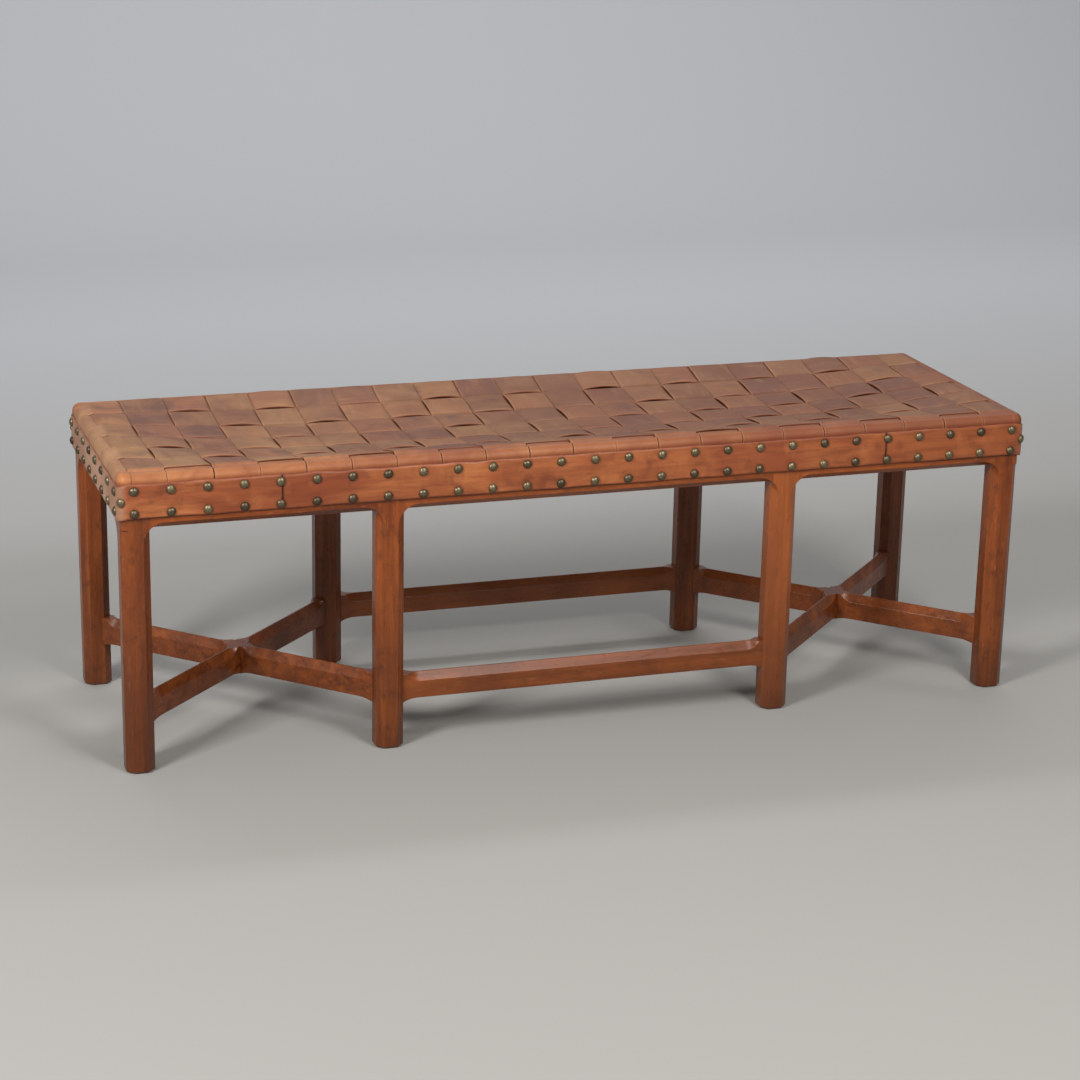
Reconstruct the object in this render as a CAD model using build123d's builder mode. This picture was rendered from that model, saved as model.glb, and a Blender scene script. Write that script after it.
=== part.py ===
from build123d import *
import math
import os

# Long bench: eight octagonal oak legs tenoned to rails and stretchers, under a seat of woven leather
# straps. The straps turn down over the rails and are nailed there beneath a leather band.
# Millimetres. X runs along the bench, Y to the back and Z up, from the floor under the middle.

os.makedirs("parts", exist_ok=True)

# Overall sizes, measured over the wood
bench_length = 1400.0
bench_depth = 420.0
wood_height = 447.0

# Legs
leg_width = 42.0
leg_chamfer = 10.5
foot_ease = 3.0
middle_leg_spacing = 616.0
corner_radius = 10.0
leg_rebate = 10.0

# Rails under the edge of the seat
rail_thickness = 21.0
rail_depth = 79.0
rail_chamfer = 8.5
window_corner_radius = 32.0
window_root_radius = 8.0
roll_radius = 9.0
rail_bevel_run = 10.0
rail_bevel_drop = 2.0
cross_rail_depth = 40.0

# Stretchers near the floor
stretcher_bottom = 67.0
stretcher_top = 111.0
arm_relief = 4.0
long_relief = 6.0
relief_run = 22.0
chamfer_across = 9.5
chamfer_down = 12.0
chamfer_stop = 6.0
spoon_radius = 30.0

# Mortise and tenon joints
tenon_thickness = 8.0
tenon_setback = 8.5
rail_tenon_length = 18.0
rail_shoulder = 10.0
cross_rail_shoulder = 6.0
stretcher_tenon_length = 13.0
stretcher_shoulder = 7.0
mortise_clearance = 1.0

# Leather straps of the seat
strap_thickness = 2.0
strap_gap = 2.5
layer_clearance = 0.3
cross_strap_count = 21
long_strap_count = 6
outer_strap_setback = 14.0
sag_depth = 24.0
sag_run = 340.0
tail_cover = 1.0

# Leather band round the edge
band_thickness = 2.3
band_height = 50.3
band_setdown = 11.4
band_end_drop = 3.5
seam_gap = 0.6

# Domed nails
nail_head_diameter = 14.0
nail_head_height = 4.8
nail_rim = 0.5
shank_diameter = 2.2
shank_length = 12.0
shank_point = 3.0
hole_clearance = 0.1
nail_columns = 27
nail_inset = 19.0
lower_nail_inset = 7.6
upper_nail_inset = 9.8
end_nail_columns = 8
end_nail_inset = 17.5
end_lower_nail_inset = 11.5
seam_column = 9
seam_setback = 2.46
corner_nail_turn = 50.0
corner_nail_setdown = 37.5

# How far a cutting tool passes the surface that it cuts
overrun = 2.0

# Places worked out from the sizes above
half_length = bench_length / 2
half_depth = bench_depth / 2
leg_half = leg_width / 2
end_leg_x = half_length - leg_half
middle_leg_x = middle_leg_spacing / 2
leg_y = half_depth - leg_half
rail_bottom = wood_height - rail_depth
inner_x = half_length - rail_thickness
inner_y = half_depth - rail_thickness
stretcher_thickness = leg_width - 2 * leg_chamfer
roll_centre_z = wood_height - roll_radius
cross_pitch = bench_length / cross_strap_count
long_pitch = 2 * inner_y / long_strap_count
band_top = wood_height - band_setdown
band_bottom = band_top - band_height
nail_pitch = 2 * (half_length - nail_inset) / (nail_columns - 1)
end_nail_pitch = 2 * (half_depth - end_nail_inset) / (end_nail_columns - 1)
seam_x = nail_pitch * seam_column - seam_setback
band_inner = strap_thickness
band_outer = strap_thickness + band_thickness
up = Vector(0, 0, 1)

leg_places = {
    "leg_front_left": (-end_leg_x, -leg_y),
    "leg_front_mid_left": (-middle_leg_x, -leg_y),
    "leg_front_mid_right": (middle_leg_x, -leg_y),
    "leg_front_right": (end_leg_x, -leg_y),
    "leg_back_left": (-end_leg_x, leg_y),
    "leg_back_mid_left": (-middle_leg_x, leg_y),
    "leg_back_mid_right": (middle_leg_x, leg_y),
    "leg_back_right": (end_leg_x, leg_y),
}
mortises = {name: [] for name in leg_places}
finished = {}


def keep(name, part):
    """Label a finished piece and write its file."""
    part.label = name
    finished[name] = part
    export_step(part, f"parts/{name}.step")


# Nails: the place of each on the band's face, and the way it points outwards


def nail_places():
    """List every nail as (group, point on the band, outward direction)."""
    lower, upper = band_bottom + lower_nail_inset, band_top - upper_nail_inset
    places = []
    for group, side in (("nails_front", -1), ("nails_back", 1)):
        for column in range(nail_columns):
            x = nail_pitch * (column - (nail_columns - 1) / 2)
            for height in (lower, upper):
                places.append((group, Vector(x, side * (half_depth + band_outer), height), Vector(0, side, 0)))
    for group, side in (("nails_left", -1), ("nails_right", 1)):
        for column in range(end_nail_columns):
            y = end_nail_pitch * (column - (end_nail_columns - 1) / 2)
            for height in (band_bottom + end_lower_nail_inset, upper):
                point = Vector(side * (half_length + band_outer), y, height - band_end_drop)
                places.append((group, point, Vector(side, 0, 0)))
        for end in (-1, 1):
            turn = math.radians(corner_nail_turn)
            outward = Vector(side * math.cos(turn), end * math.sin(turn), 0)
            centre = Vector(side * (half_length - corner_radius), end * (half_depth - corner_radius),
                            wood_height - corner_nail_setdown)
            places.append((group, centre + outward * (corner_radius + band_outer), outward))
    return places


def nail_hole(point, outward):
    """Drilling for one shank, from just outside the band's face into the wood."""
    with BuildPart() as hole:
        with BuildSketch(Plane(origin=point + outward * overrun, z_dir=-outward)):
            Circle(shank_diameter / 2 + hole_clearance)
        extrude(amount=overrun + shank_length + hole_clearance)
    return hole.part


nails = nail_places()
holes = [(point - outward * (shank_length / 2), nail_hole(point, outward)) for _, point, outward in nails]


def drill(part):
    """Nail holes whose middle lies in or near the part's box."""
    box = part.bounding_box()
    near = shank_length / 2
    return [hole for middle, hole in holes
            if box.min.X - near <= middle.X <= box.max.X + near
            and box.min.Y - near <= middle.Y <= box.max.Y + near
            and box.min.Z <= middle.Z <= box.max.Z]


# Windows: the chamfer run round each opening between two legs and the rail above them


def window_cut(face, left, right):
    """Tapered tool round an opening. The face plane points outwards, with its x along the opening."""
    with BuildPart() as cut:
        for offset in (overrun, -(leg_chamfer + overrun)):
            share = 1 + offset / leg_chamfer
            low, high = -overrun, rail_bottom + rail_chamfer * share
            side = leg_chamfer * share
            with BuildSketch(face.offset(offset)) as outline:
                with Locations(((left + right) / 2, (low + high) / 2)):
                    Rectangle(right - left + 2 * side, high - low)
                fillet(outline.vertices().group_by(Axis.Y)[-1],
                       window_root_radius + (window_corner_radius - window_root_radius) * share)
        loft(ruled=True)
    return cut.part


front_face = Plane(origin=(0, -half_depth, 0), x_dir=(1, 0, 0), z_dir=(0, -1, 0))
back_face = Plane(origin=(0, half_depth, 0), x_dir=(-1, 0, 0), z_dir=(0, 1, 0))
left_face = Plane(origin=(-half_length, 0, 0), x_dir=(0, -1, 0), z_dir=(-1, 0, 0))
right_face = Plane(origin=(half_length, 0, 0), x_dir=(0, 1, 0), z_dir=(1, 0, 0))
bays = {
    "left": (-end_leg_x + leg_half, -middle_leg_x - leg_half),
    "centre": (-middle_leg_x + leg_half, middle_leg_x - leg_half),
    "right": (middle_leg_x + leg_half, end_leg_x - leg_half),
}
end_opening = leg_y - leg_half
windows = {("left", "end"): window_cut(left_face, -end_opening, end_opening),
           ("right", "end"): window_cut(right_face, -end_opening, end_opening)}
for bay, (start, stop) in bays.items():
    windows["front", bay] = window_cut(front_face, start, stop)
    windows["back", bay] = window_cut(back_face, -stop, -start)

# Tongues that join rails and stretchers to the legs


def bar_plane(start, stop):
    """Upright plane through two plan points, with x along the bar and y up."""
    along = Vector(stop[0] - start[0], stop[1] - start[1], 0).normalized()
    return Plane(origin=(start[0], start[1], 0), x_dir=along, z_dir=along.cross(up))


def tongue(plane, start, stop, low, high):
    """Upright tongue of the tenons' thickness between two places along a bar."""
    with BuildPart() as piece:
        with BuildSketch(plane):
            with Locations(((start + stop) / 2, (low + high) / 2)):
                Rectangle(stop - start, high - low)
        extrude(amount=tenon_thickness / 2, both=True)
    return piece.part


def tenons(ends, start, stop, length, low, high):
    """Tongues at both ends of a bar between plan points, and their mortises in the two legs.

    ends holds (leg name, how far the leg's face lies inside the plan point) for each end.
    """
    pieces = []
    for (leg, face), plane in zip(ends, (bar_plane(start, stop), bar_plane(stop, start))):
        root = face + leg_half
        pieces.append(tongue(plane, face - length, root, low, high))
        mortises[leg].append(tongue(plane, face - length - mortise_clearance, root, low, high))
    return pieces


# Rails


def rail_outline(outer, inward):
    """Section of an edge rail: rounded outer top edge, bevelled inner top edge."""
    inner = outer + inward * rail_thickness
    with BuildSketch() as section:
        with BuildLine():
            Polyline(
                (outer, rail_bottom), (outer, wood_height),
                (inner - inward * rail_bevel_run, wood_height), (inner, wood_height - rail_bevel_drop),
                (inner, rail_bottom), close=True)
        make_face()
        fillet(section.vertices().sort_by_distance((outer, wood_height, 0))[0], roll_radius)
    return section.sketch


def make_side_rail(name, side, bay, leg_names):
    """Front or back rail of one bay, between the sides of two legs."""
    start, stop = bays[bay]
    line = side * (half_depth - tenon_setback - tenon_thickness / 2)
    section = rail_outline(side * half_depth, -side)
    tongues = tenons([(leg, 0) for leg in leg_names], (start, line), (stop, line), rail_tenon_length,
                     rail_bottom + rail_shoulder, wood_height - rail_shoulder)
    with BuildPart() as rail:
        with BuildSketch(Plane.YZ.offset(start)):
            add(section)
        extrude(amount=stop - start)
        add(tongues)
        add(windows["front" if side < 0 else "back", bay], mode=Mode.SUBTRACT)
        add(drill(rail.part), mode=Mode.SUBTRACT)
    keep(name, rail.part)


def make_end_rail(name, side, leg_names):
    """Rail across one end, between the inner sides of the corner legs."""
    line = side * (half_length - tenon_setback - tenon_thickness / 2)
    section = rail_outline(side * half_length, -side)
    tongues = tenons([(leg, 0) for leg in leg_names], (line, -end_opening), (line, end_opening),
                     rail_tenon_length, rail_bottom + rail_shoulder, wood_height - rail_shoulder)
    with BuildPart() as rail:
        with BuildSketch(Plane.XZ.offset(-end_opening)):
            add(section)
        extrude(amount=2 * end_opening)
        add(tongues)
        add(windows["left" if side < 0 else "right", "end"], mode=Mode.SUBTRACT)
        add(drill(rail.part), mode=Mode.SUBTRACT)
    keep(name, rail.part)


def make_cross_rail(name, x, leg_names):
    """Plain rail under the seat, between the inner faces of a middle pair of legs."""
    tongues = tenons([(leg, 0) for leg in leg_names], (x, -end_opening), (x, end_opening),
                     rail_tenon_length, rail_bottom + cross_rail_shoulder,
                     rail_bottom + cross_rail_depth - cross_rail_shoulder)
    with BuildPart() as rail:
        with BuildSketch(Plane.XZ.offset(-end_opening)):
            with Locations((x, rail_bottom + cross_rail_depth / 2)):
                Rectangle(stretcher_thickness, cross_rail_depth)
        extrude(amount=2 * end_opening)
        add(tongues)
    keep(name, rail.part)


for side, word in ((-1, "front"), (1, "back")):
    row = [f"leg_{word}_left", f"leg_{word}_mid_left", f"leg_{word}_mid_right", f"leg_{word}_right"]
    for bay, pair in zip(bays, zip(row, row[1:])):
        make_side_rail(f"rail_{word}_{bay}", side, bay, pair)
make_end_rail("rail_left_end", -1, ("leg_front_left", "leg_back_left"))
make_end_rail("rail_right_end", 1, ("leg_front_right", "leg_back_right"))
make_cross_rail("cross_rail_left", -middle_leg_x, ("leg_front_mid_left", "leg_back_mid_left"))
make_cross_rail("cross_rail_right", middle_leg_x, ("leg_front_mid_right", "leg_back_mid_right"))

# Stretchers: deep at the joints, relieved below and chamfered above between them


def relief_cut(plane, start, stop, relief):
    """Tool that lifts the lower edge between two joints, with an arc down to each joint."""
    radius = (relief_run**2 + relief**2) / (2 * relief)
    turn = math.degrees(math.asin(relief_run / radius))
    raised = stretcher_bottom + relief
    with BuildPart() as cut:
        with BuildSketch(plane):
            with BuildLine():
                flat = Line((start + relief_run, raised), (stop - relief_run, raised))
                near = JernArc(flat @ 0, (-1, 0), radius, turn)
                far = JernArc(flat @ 1, (1, 0), radius, -turn)
                Polyline(near @ 1, (start, stretcher_bottom - overrun), (stop, stretcher_bottom - overrun),
                         far @ 1)
            make_face()
        extrude(amount=stretcher_thickness, both=True)
    return cut.part


def spoon_cut(plane, side, start, stop):
    """Tool for a chamfer on one top edge that rises out of the wood in an arc at each end."""
    slope = math.hypot(chamfer_across, chamfer_down)
    depth = chamfer_across * chamfer_down / slope
    run = math.sqrt(2 * spoon_radius * depth - depth**2)
    turn = math.degrees(math.acos(1 - slope / spoon_radius))
    outward = plane.z_dir * side
    normal = (up * chamfer_across + outward * chamfer_down) / slope
    ridge = plane.from_local_coords((0, stretcher_top, side * (stretcher_thickness / 2 - chamfer_across)))
    face = Plane(origin=ridge, x_dir=plane.x_dir, z_dir=plane.x_dir.cross(normal))
    with BuildPart() as cut:
        with BuildSketch(face):
            with BuildLine():
                flat = Line((start + chamfer_stop + run, 0), (stop - chamfer_stop - run, 0))
                near = JernArc(flat @ 0, (-1, 0), spoon_radius, -turn)
                far = JernArc(flat @ 1, (1, 0), spoon_radius, turn)
                Line(near @ 1, far @ 1)
            make_face()
        extrude(amount=stretcher_thickness, both=True)
    return cut.part


def bar(plane, start, stop, low, high):
    """Upright bar of the stretchers' thickness between two places along a plane."""
    with BuildPart() as piece:
        with BuildSketch(plane):
            with Locations(((start + stop) / 2, (low + high) / 2)):
                Rectangle(stop - start, high - low)
        extrude(amount=stretcher_thickness / 2, both=True)
    return piece.part


def leg_reach(along):
    """Distance from a leg's centre to its flat or chamfered face, in a plan direction."""
    return min(leg_half / max(abs(along.X), abs(along.Y)),
               (leg_width - leg_chamfer) / (abs(along.X) + abs(along.Y)))


def leg_core(place):
    """Octagonal leg over the stretchers' height, which trims their shoulders."""
    with BuildPart() as core:
        with BuildSketch() as outline:
            with Locations(place):
                Rectangle(leg_width, leg_width)
            chamfer(outline.vertices(), leg_chamfer)
        extrude(amount=stretcher_top + overrun)
    return core.part


def make_long_stretcher(name, leg_names):
    """Stretcher between the flat sides of two middle legs."""
    start, stop = (leg_places[leg] for leg in leg_names)
    plane = bar_plane(start, stop)
    span = (leg_half, middle_leg_spacing - leg_half)
    blank = bar(plane, *span, stretcher_bottom, stretcher_top)
    cuts = [relief_cut(plane, *span, long_relief)] + [spoon_cut(plane, side, *span) for side in (-1, 1)]
    tongues = tenons([(leg, leg_half) for leg in leg_names], start, stop, stretcher_tenon_length,
                     stretcher_bottom + stretcher_shoulder, stretcher_top - stretcher_shoulder)
    with BuildPart() as stretcher:
        add(blank)
        add(cuts, mode=Mode.SUBTRACT)
        add(tongues)
    keep(name, stretcher.part)


def make_arm(name, leg_names, other_names, notch_above):
    """Diagonal stretcher from a corner leg to a middle leg, halved across its neighbour."""
    start, stop = (leg_places[leg] for leg in leg_names)
    plane = bar_plane(start, stop)
    other = bar_plane(*(leg_places[leg] for leg in other_names))
    length = math.dist(start, stop)
    face = leg_reach(plane.x_dir)
    crossing = stretcher_thickness / (2 * plane.x_dir.cross(other.x_dir).length)
    middle = (stretcher_bottom + stretcher_top) / 2
    notch = (middle, stretcher_top + overrun) if notch_above else (stretcher_bottom - overrun, middle)
    blank = bar(plane, 0, length, stretcher_bottom, stretcher_top)
    cuts = [leg_core(start), leg_core(stop), bar(other, 0, length, *notch)]
    for span in ((face, length / 2 - crossing), (length / 2 + crossing, length - face)):
        cuts.append(relief_cut(plane, *span, arm_relief))
        cuts.extend(spoon_cut(plane, side, *span) for side in (-1, 1))
    tongues = tenons([(leg, face) for leg in leg_names], start, stop, stretcher_tenon_length,
                     stretcher_bottom + stretcher_shoulder, stretcher_top - stretcher_shoulder)
    with BuildPart() as arm:
        add(blank)
        add(cuts, mode=Mode.SUBTRACT)
        add(tongues)
    keep(name, arm.part)


make_long_stretcher("stretcher_front", ("leg_front_mid_left", "leg_front_mid_right"))
make_long_stretcher("stretcher_back", ("leg_back_mid_left", "leg_back_mid_right"))
for hand in ("left", "right"):
    from_front = (f"leg_front_{hand}", f"leg_back_mid_{hand}")
    from_back = (f"leg_back_{hand}", f"leg_front_mid_{hand}")
    make_arm(f"arm_{hand}_from_front", from_front, from_back, True)
    make_arm(f"arm_{hand}_from_back", from_back, from_front, False)

# Legs: square at the rails, octagonal below, with their tops rebated clear of the sagging straps


with BuildPart() as rebate:
    rise_share = 1 + overrun / rail_bevel_drop
    for height, grow in ((wood_height + overrun, rail_bevel_run * rise_share),
                         (wood_height - rail_bevel_drop, 0)):
        with BuildSketch(Plane.XY.offset(height)):
            Rectangle(2 * (inner_x + grow), 2 * (inner_y + grow))
    loft(ruled=True)
    with BuildSketch(Plane.XY.offset(wood_height - leg_rebate)):
        Rectangle(2 * inner_x, 2 * inner_y)
    extrude(amount=leg_rebate - rail_bevel_drop)


def make_leg(name, x, y, cuts):
    """Leg with its chamfers, rounded top edge, mortises and nail holes."""
    corner = abs(x) > middle_leg_x
    across, away = math.copysign(1, x), math.copysign(1, y)
    with BuildPart() as leg:
        with BuildSketch():
            with Locations((x, y)):
                Rectangle(leg_width, leg_width)
        extrude(amount=wood_height)
        uprights = leg.edges().filter_by(Axis.Z)
        if corner:
            ranked = uprights.sort_by(lambda edge: across * edge.center().X + away * edge.center().Y)
            inner, outer = ranked[:1], ranked[-1:]
        else:
            inner, outer = uprights.sort_by(lambda edge: away * edge.center().Y)[:2], []
        chamfer(inner, leg_chamfer)
        if corner:
            outer = leg.edges().filter_by(Axis.Z).sort_by(
                lambda edge: across * edge.center().X + away * edge.center().Y)[-1]
            fillet(outer, corner_radius)
        top = leg.faces().sort_by(Axis.Z)[-1].edges()
        rolled = [edge for edge in top if abs(edge.center().X) > half_length - corner_radius
                  or abs(edge.center().Y) > half_depth - corner_radius]
        fillet(rolled, roll_radius)
        if corner:
            tip = (across * half_length, away * half_depth)
            with BuildSketch():
                Polygon(tip, (tip[0] - across * leg_chamfer, tip[1]), (tip[0], tip[1] - away * leg_chamfer),
                        align=None)
            extrude(amount=rail_bottom, mode=Mode.SUBTRACT)
        add(rebate.part, mode=Mode.SUBTRACT)
        add(cuts, mode=Mode.SUBTRACT)
        chamfer(leg.faces().sort_by(Axis.Z)[0].edges(), foot_ease)
        add(mortises[name], mode=Mode.SUBTRACT)
        add(drill(leg.part), mode=Mode.SUBTRACT)
    keep(name, leg.part)


for word in ("front", "back"):
    for hand in ("left", "right"):
        name = f"leg_{word}_{hand}"
        make_leg(name, *leg_places[name], [windows[word, hand], windows[hand, "end"]])
        name = f"leg_{word}_mid_{hand}"
        make_leg(name, *leg_places[name], [windows[word, hand], windows[word, "centre"]])

# Seat of woven straps

woven_half_depth = inner_y - strap_gap / 2
outer_strap_x = half_length - outer_strap_setback


def sag(x, y):
    """How far the seat has sunk: an arch over the depth that fades out towards the ends."""
    inside = max((outer_strap_x - abs(x)) / sag_run, 0)
    along = 1 - (1 - min(inside, 1)) ** 2
    return sag_depth * along * max(1 - (y / woven_half_depth) ** 2, 0)


def layer(over):
    """Height of a strap's middle over the flat wood, on top of a strap or straight on the rail."""
    return wood_height + strap_thickness / 2 + (strap_thickness + layer_clearance if over else 0)


def cross_edges(column):
    """Left and right edge of a cross strap."""
    centre = cross_pitch * (column - (cross_strap_count - 1) / 2)
    half = (cross_pitch - strap_gap) / 2
    return max(centre - half, -outer_strap_x), min(centre + half, outer_strap_x)


def long_edges(row):
    """Front and back edge of a long strap."""
    centre = long_pitch * (row - (long_strap_count - 1) / 2)
    half = (long_pitch - strap_gap) / 2
    return centre - half, centre + half


def cell_drop(column, row, x, y):
    """How far a point of one cell has sunk, on a flat plane that lies no lower than the sag at its corners."""
    left, right = cross_edges(column)
    front, back = long_edges(row)
    front_left, front_right, back_left, back_right = (sag(i, j) for j in (front, back) for i in (left, right))
    warp = abs(front_left + back_right - front_right - back_left)
    middle = (front_left + front_right + back_left + back_right - warp) / 4
    across = (front_right + back_right - front_left - back_left) / (2 * (right - left))
    along = (back_left + back_right - front_left - front_right) / (2 * (back - front))
    return middle + across * (x - (left + right) / 2) + along * (y - (front + back) / 2)


def strap_end(outer, side, inner_end, tail_bottom):
    """Section of a strap's end: flat on the rail, over its rounded edge and down its face."""
    face, shell = outer * side, (outer + strap_thickness) * side
    centre = Vector((outer - roll_radius) * side, roll_centre_z)
    slant = Vector(side, 1) / math.sqrt(2)
    with BuildSketch() as section:
        with BuildLine():
            Polyline((face, roll_centre_z), (face, tail_bottom), (shell, tail_bottom), (shell, roll_centre_z))
            ThreePointArc((shell, roll_centre_z), centre + slant * (roll_radius + strap_thickness),
                          (centre.X, wood_height + strap_thickness))
            Polyline((centre.X, wood_height + strap_thickness), (inner_end * side, wood_height + strap_thickness),
                     (inner_end * side, wood_height), (centre.X, wood_height))
            ThreePointArc((centre.X, wood_height), centre + slant * roll_radius, (face, roll_centre_z))
        make_face()
    return section.sketch


def strap_section(plane, near, far, near_height, far_height):
    """Section across a strap, from edge to edge, as high at each edge as the seat is there."""
    half = strap_thickness / 2
    with BuildSketch(plane) as section:
        Polygon((near, near_height - half), (far, far_height - half), (far, far_height + half),
                (near, near_height + half), align=None)
    return section.sketch


def make_cross_strap(column):
    """Strap from the front rail to the back rail, over and under the long straps."""
    left, right = cross_edges(column)
    landing = woven_half_depth + strap_gap
    ends = [strap_end(half_depth, side, landing, band_bottom + tail_cover) for side in (-1, 1)]
    sections = [strap_section(Plane.XZ.offset(landing), left, right, layer(False), layer(False))]
    for row in range(long_strap_count):
        height = layer((row + column) % 2 == 0)
        for y in long_edges(row):
            drops = [cell_drop(column, row, x, y) for x in (left, right)]
            sections.append(strap_section(
                Plane.XZ.offset(-y), left, right, height - drops[0], height - drops[1]))
    sections.append(strap_section(Plane.XZ.offset(-landing), left, right, layer(False), layer(False)))
    with BuildPart() as strap:
        loft(sections, ruled=True)
        for end in ends:
            with BuildSketch(Plane.YZ.offset(left)):
                add(end)
            extrude(amount=right - left)
        add(drill(strap.part), mode=Mode.SUBTRACT)
    keep(f"cross_strap_{column + 1:02d}", strap.part)


def make_long_strap(row):
    """Strap from end to end, under and over the cross straps."""
    front, back = long_edges(row)
    landing = outer_strap_x + strap_gap
    tail_bottom = band_bottom - band_end_drop + tail_cover
    ends = [strap_end(half_length, side, landing, tail_bottom) for side in (-1, 1)]
    sections = [strap_section(Plane.YZ.offset(-landing), front, back, layer(False), layer(False))]
    for column in range(cross_strap_count):
        height = layer((row + column) % 2 == 1)
        for x in cross_edges(column):
            drops = [cell_drop(column, row, x, y) for y in (front, back)]
            sections.append(strap_section(
                Plane.YZ.offset(x), front, back, height - drops[0], height - drops[1]))
    sections.append(strap_section(Plane.YZ.offset(landing), front, back, layer(False), layer(False)))
    with BuildPart() as strap:
        loft(sections, ruled=True)
        for end in ends:
            with BuildSketch(Plane.XZ.offset(-front)):
                add(end)
            extrude(amount=front - back)
        add(drill(strap.part), mode=Mode.SUBTRACT)
    keep(f"long_strap_{row + 1}", strap.part)


for column in range(cross_strap_count):
    make_cross_strap(column)
for row in range(long_strap_count):
    make_long_strap(row)

# Leather band over the strap ends, in two straight lengths and two that turn the corners


def make_straight_band(name, side):
    """Length of band along the front or back, between the seams."""
    with BuildPart() as band:
        with BuildSketch(Plane.XY.offset(band_bottom)):
            with Locations((0, side * (half_depth + (band_inner + band_outer) / 2))):
                Rectangle(2 * seam_x - seam_gap, band_thickness)
        extrude(amount=band_height)
        add(drill(band.part), mode=Mode.SUBTRACT)
    keep(name, band.part)


def make_end_band(name, side):
    """Length of band from seam to seam round one end, lower across the end than along the sides."""
    seam = seam_x + seam_gap / 2
    turn = half_length - corner_radius
    outer = half_length + band_outer
    low, high = band_bottom - band_end_drop, band_top - band_end_drop
    with BuildPart() as band:
        with BuildSketch(Plane.XY.offset(low)):
            for grow, mode in ((band_outer, Mode.ADD), (band_inner, Mode.SUBTRACT)):
                RectangleRounded(bench_length + 2 * grow, bench_depth + 2 * grow, corner_radius + grow, mode=mode)
        extrude(amount=band_top - low)
        with BuildSketch(Plane.XZ):
            Polygon((side * seam, band_bottom), (side * turn, band_bottom), (side * outer, low),
                    (side * (outer + overrun), low), (side * (outer + overrun), high), (side * outer, high),
                    (side * turn, band_top), (side * seam, band_top), align=None)
        extrude(amount=half_depth + band_outer + overrun, both=True, mode=Mode.INTERSECT)
        add(drill(band.part), mode=Mode.SUBTRACT)
    keep(name, band.part)


make_straight_band("band_front", -1)
make_straight_band("band_back", 1)
make_end_band("band_left_end", -1)
make_end_band("band_right_end", 1)


def make_nails(group):
    """All the nails of one side, each a domed head on a pointed shank."""
    head, shank = nail_head_diameter / 2, shank_diameter / 2
    rise = nail_head_height - nail_rim
    dome = (head**2 + rise**2) / (2 * rise)
    half_turn = math.asin(head / dome) / 2
    with BuildPart() as nail:
        with BuildSketch(Plane.XZ):
            with BuildLine():
                Polyline((0, nail_head_height), (0, -shank_length), (shank, shank_point - shank_length),
                         (shank, 0), (head, 0), (head, nail_rim))
                ThreePointArc((head, nail_rim),
                              (dome * math.sin(half_turn), nail_head_height - dome * (1 - math.cos(half_turn))),
                              (0, nail_head_height))
            make_face()
        revolve(axis=Axis.Z)
    with BuildPart() as row:
        with Locations([Plane(origin=point, z_dir=outward).location
                        for name, point, outward in nails if name == group]):
            add(nail.part)
    keep(group, row.part)


for group in ("nails_front", "nails_back", "nails_left", "nails_right"):
    make_nails(group)

print(f"{len(finished)} pieces, {len(nails)} nails")
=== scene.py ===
# %% [markdown]
# # A long bench with a woven leather seat
# The object is an oak bench with eight legs. Its seat is woven from leather straps that turn down over
# the rails, where a leather band and two rows of domed nails hold them. The wooden frame comes from the
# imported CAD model. This notebook adds the camera, the leather, the nails, the finishes and the light.

# %% Load the frame
import math
import bpy
import numpy as np
from mathutils import Matrix


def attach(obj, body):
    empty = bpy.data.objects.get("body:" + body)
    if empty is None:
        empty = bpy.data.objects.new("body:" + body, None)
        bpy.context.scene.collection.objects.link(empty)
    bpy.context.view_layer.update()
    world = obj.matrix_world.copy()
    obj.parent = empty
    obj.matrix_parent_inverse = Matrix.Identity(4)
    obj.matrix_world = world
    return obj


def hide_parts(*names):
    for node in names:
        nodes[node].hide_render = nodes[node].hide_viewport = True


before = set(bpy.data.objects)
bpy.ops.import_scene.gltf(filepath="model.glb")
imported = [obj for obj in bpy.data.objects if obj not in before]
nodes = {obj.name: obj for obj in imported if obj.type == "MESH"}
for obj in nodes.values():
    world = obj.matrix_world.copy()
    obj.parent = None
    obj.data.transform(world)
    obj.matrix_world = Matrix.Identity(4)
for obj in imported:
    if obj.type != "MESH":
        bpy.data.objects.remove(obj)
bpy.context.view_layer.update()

# %% [markdown]
# ## Camera
# A camera can be moved by eye until the view looks right. Here its place, its turn and its focal length
# were solved instead, so that the bench's corners fall where the photograph shows them, because only
# then can the two pictures be compared. The result is a long lens, seen from the left and a little
# above, with a slight roll. The camera's axes are three unit vectors, which fill the object's matrix.

# %% Camera
CAMERA_PLACE = (-1.2826, -3.8163, 1.5008)
CAMERA_YAW, CAMERA_PITCH, CAMERA_ROLL = 0.3214, 0.3044, 0.02
LENS_MM, SENSOR_MM = 90.08, 36.0
FAR_CLIP = 60.0

ahead = np.array([math.sin(CAMERA_YAW) * math.cos(CAMERA_PITCH),
                  math.cos(CAMERA_YAW) * math.cos(CAMERA_PITCH), -math.sin(CAMERA_PITCH)])
level = np.array([math.cos(CAMERA_YAW), -math.sin(CAMERA_YAW), 0.0])
upward = np.cross(level, ahead)
right = math.cos(CAMERA_ROLL) * level + math.sin(CAMERA_ROLL) * upward
top = -math.sin(CAMERA_ROLL) * level + math.cos(CAMERA_ROLL) * upward


def aimed(across, up, back, place):
    """Matrix of an object that looks against back: the three axes as columns, and then its place."""
    return Matrix([[*axes, p] for axes, p in zip(zip(across, up, back), place)] + [[0, 0, 0, 1]])


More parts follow.
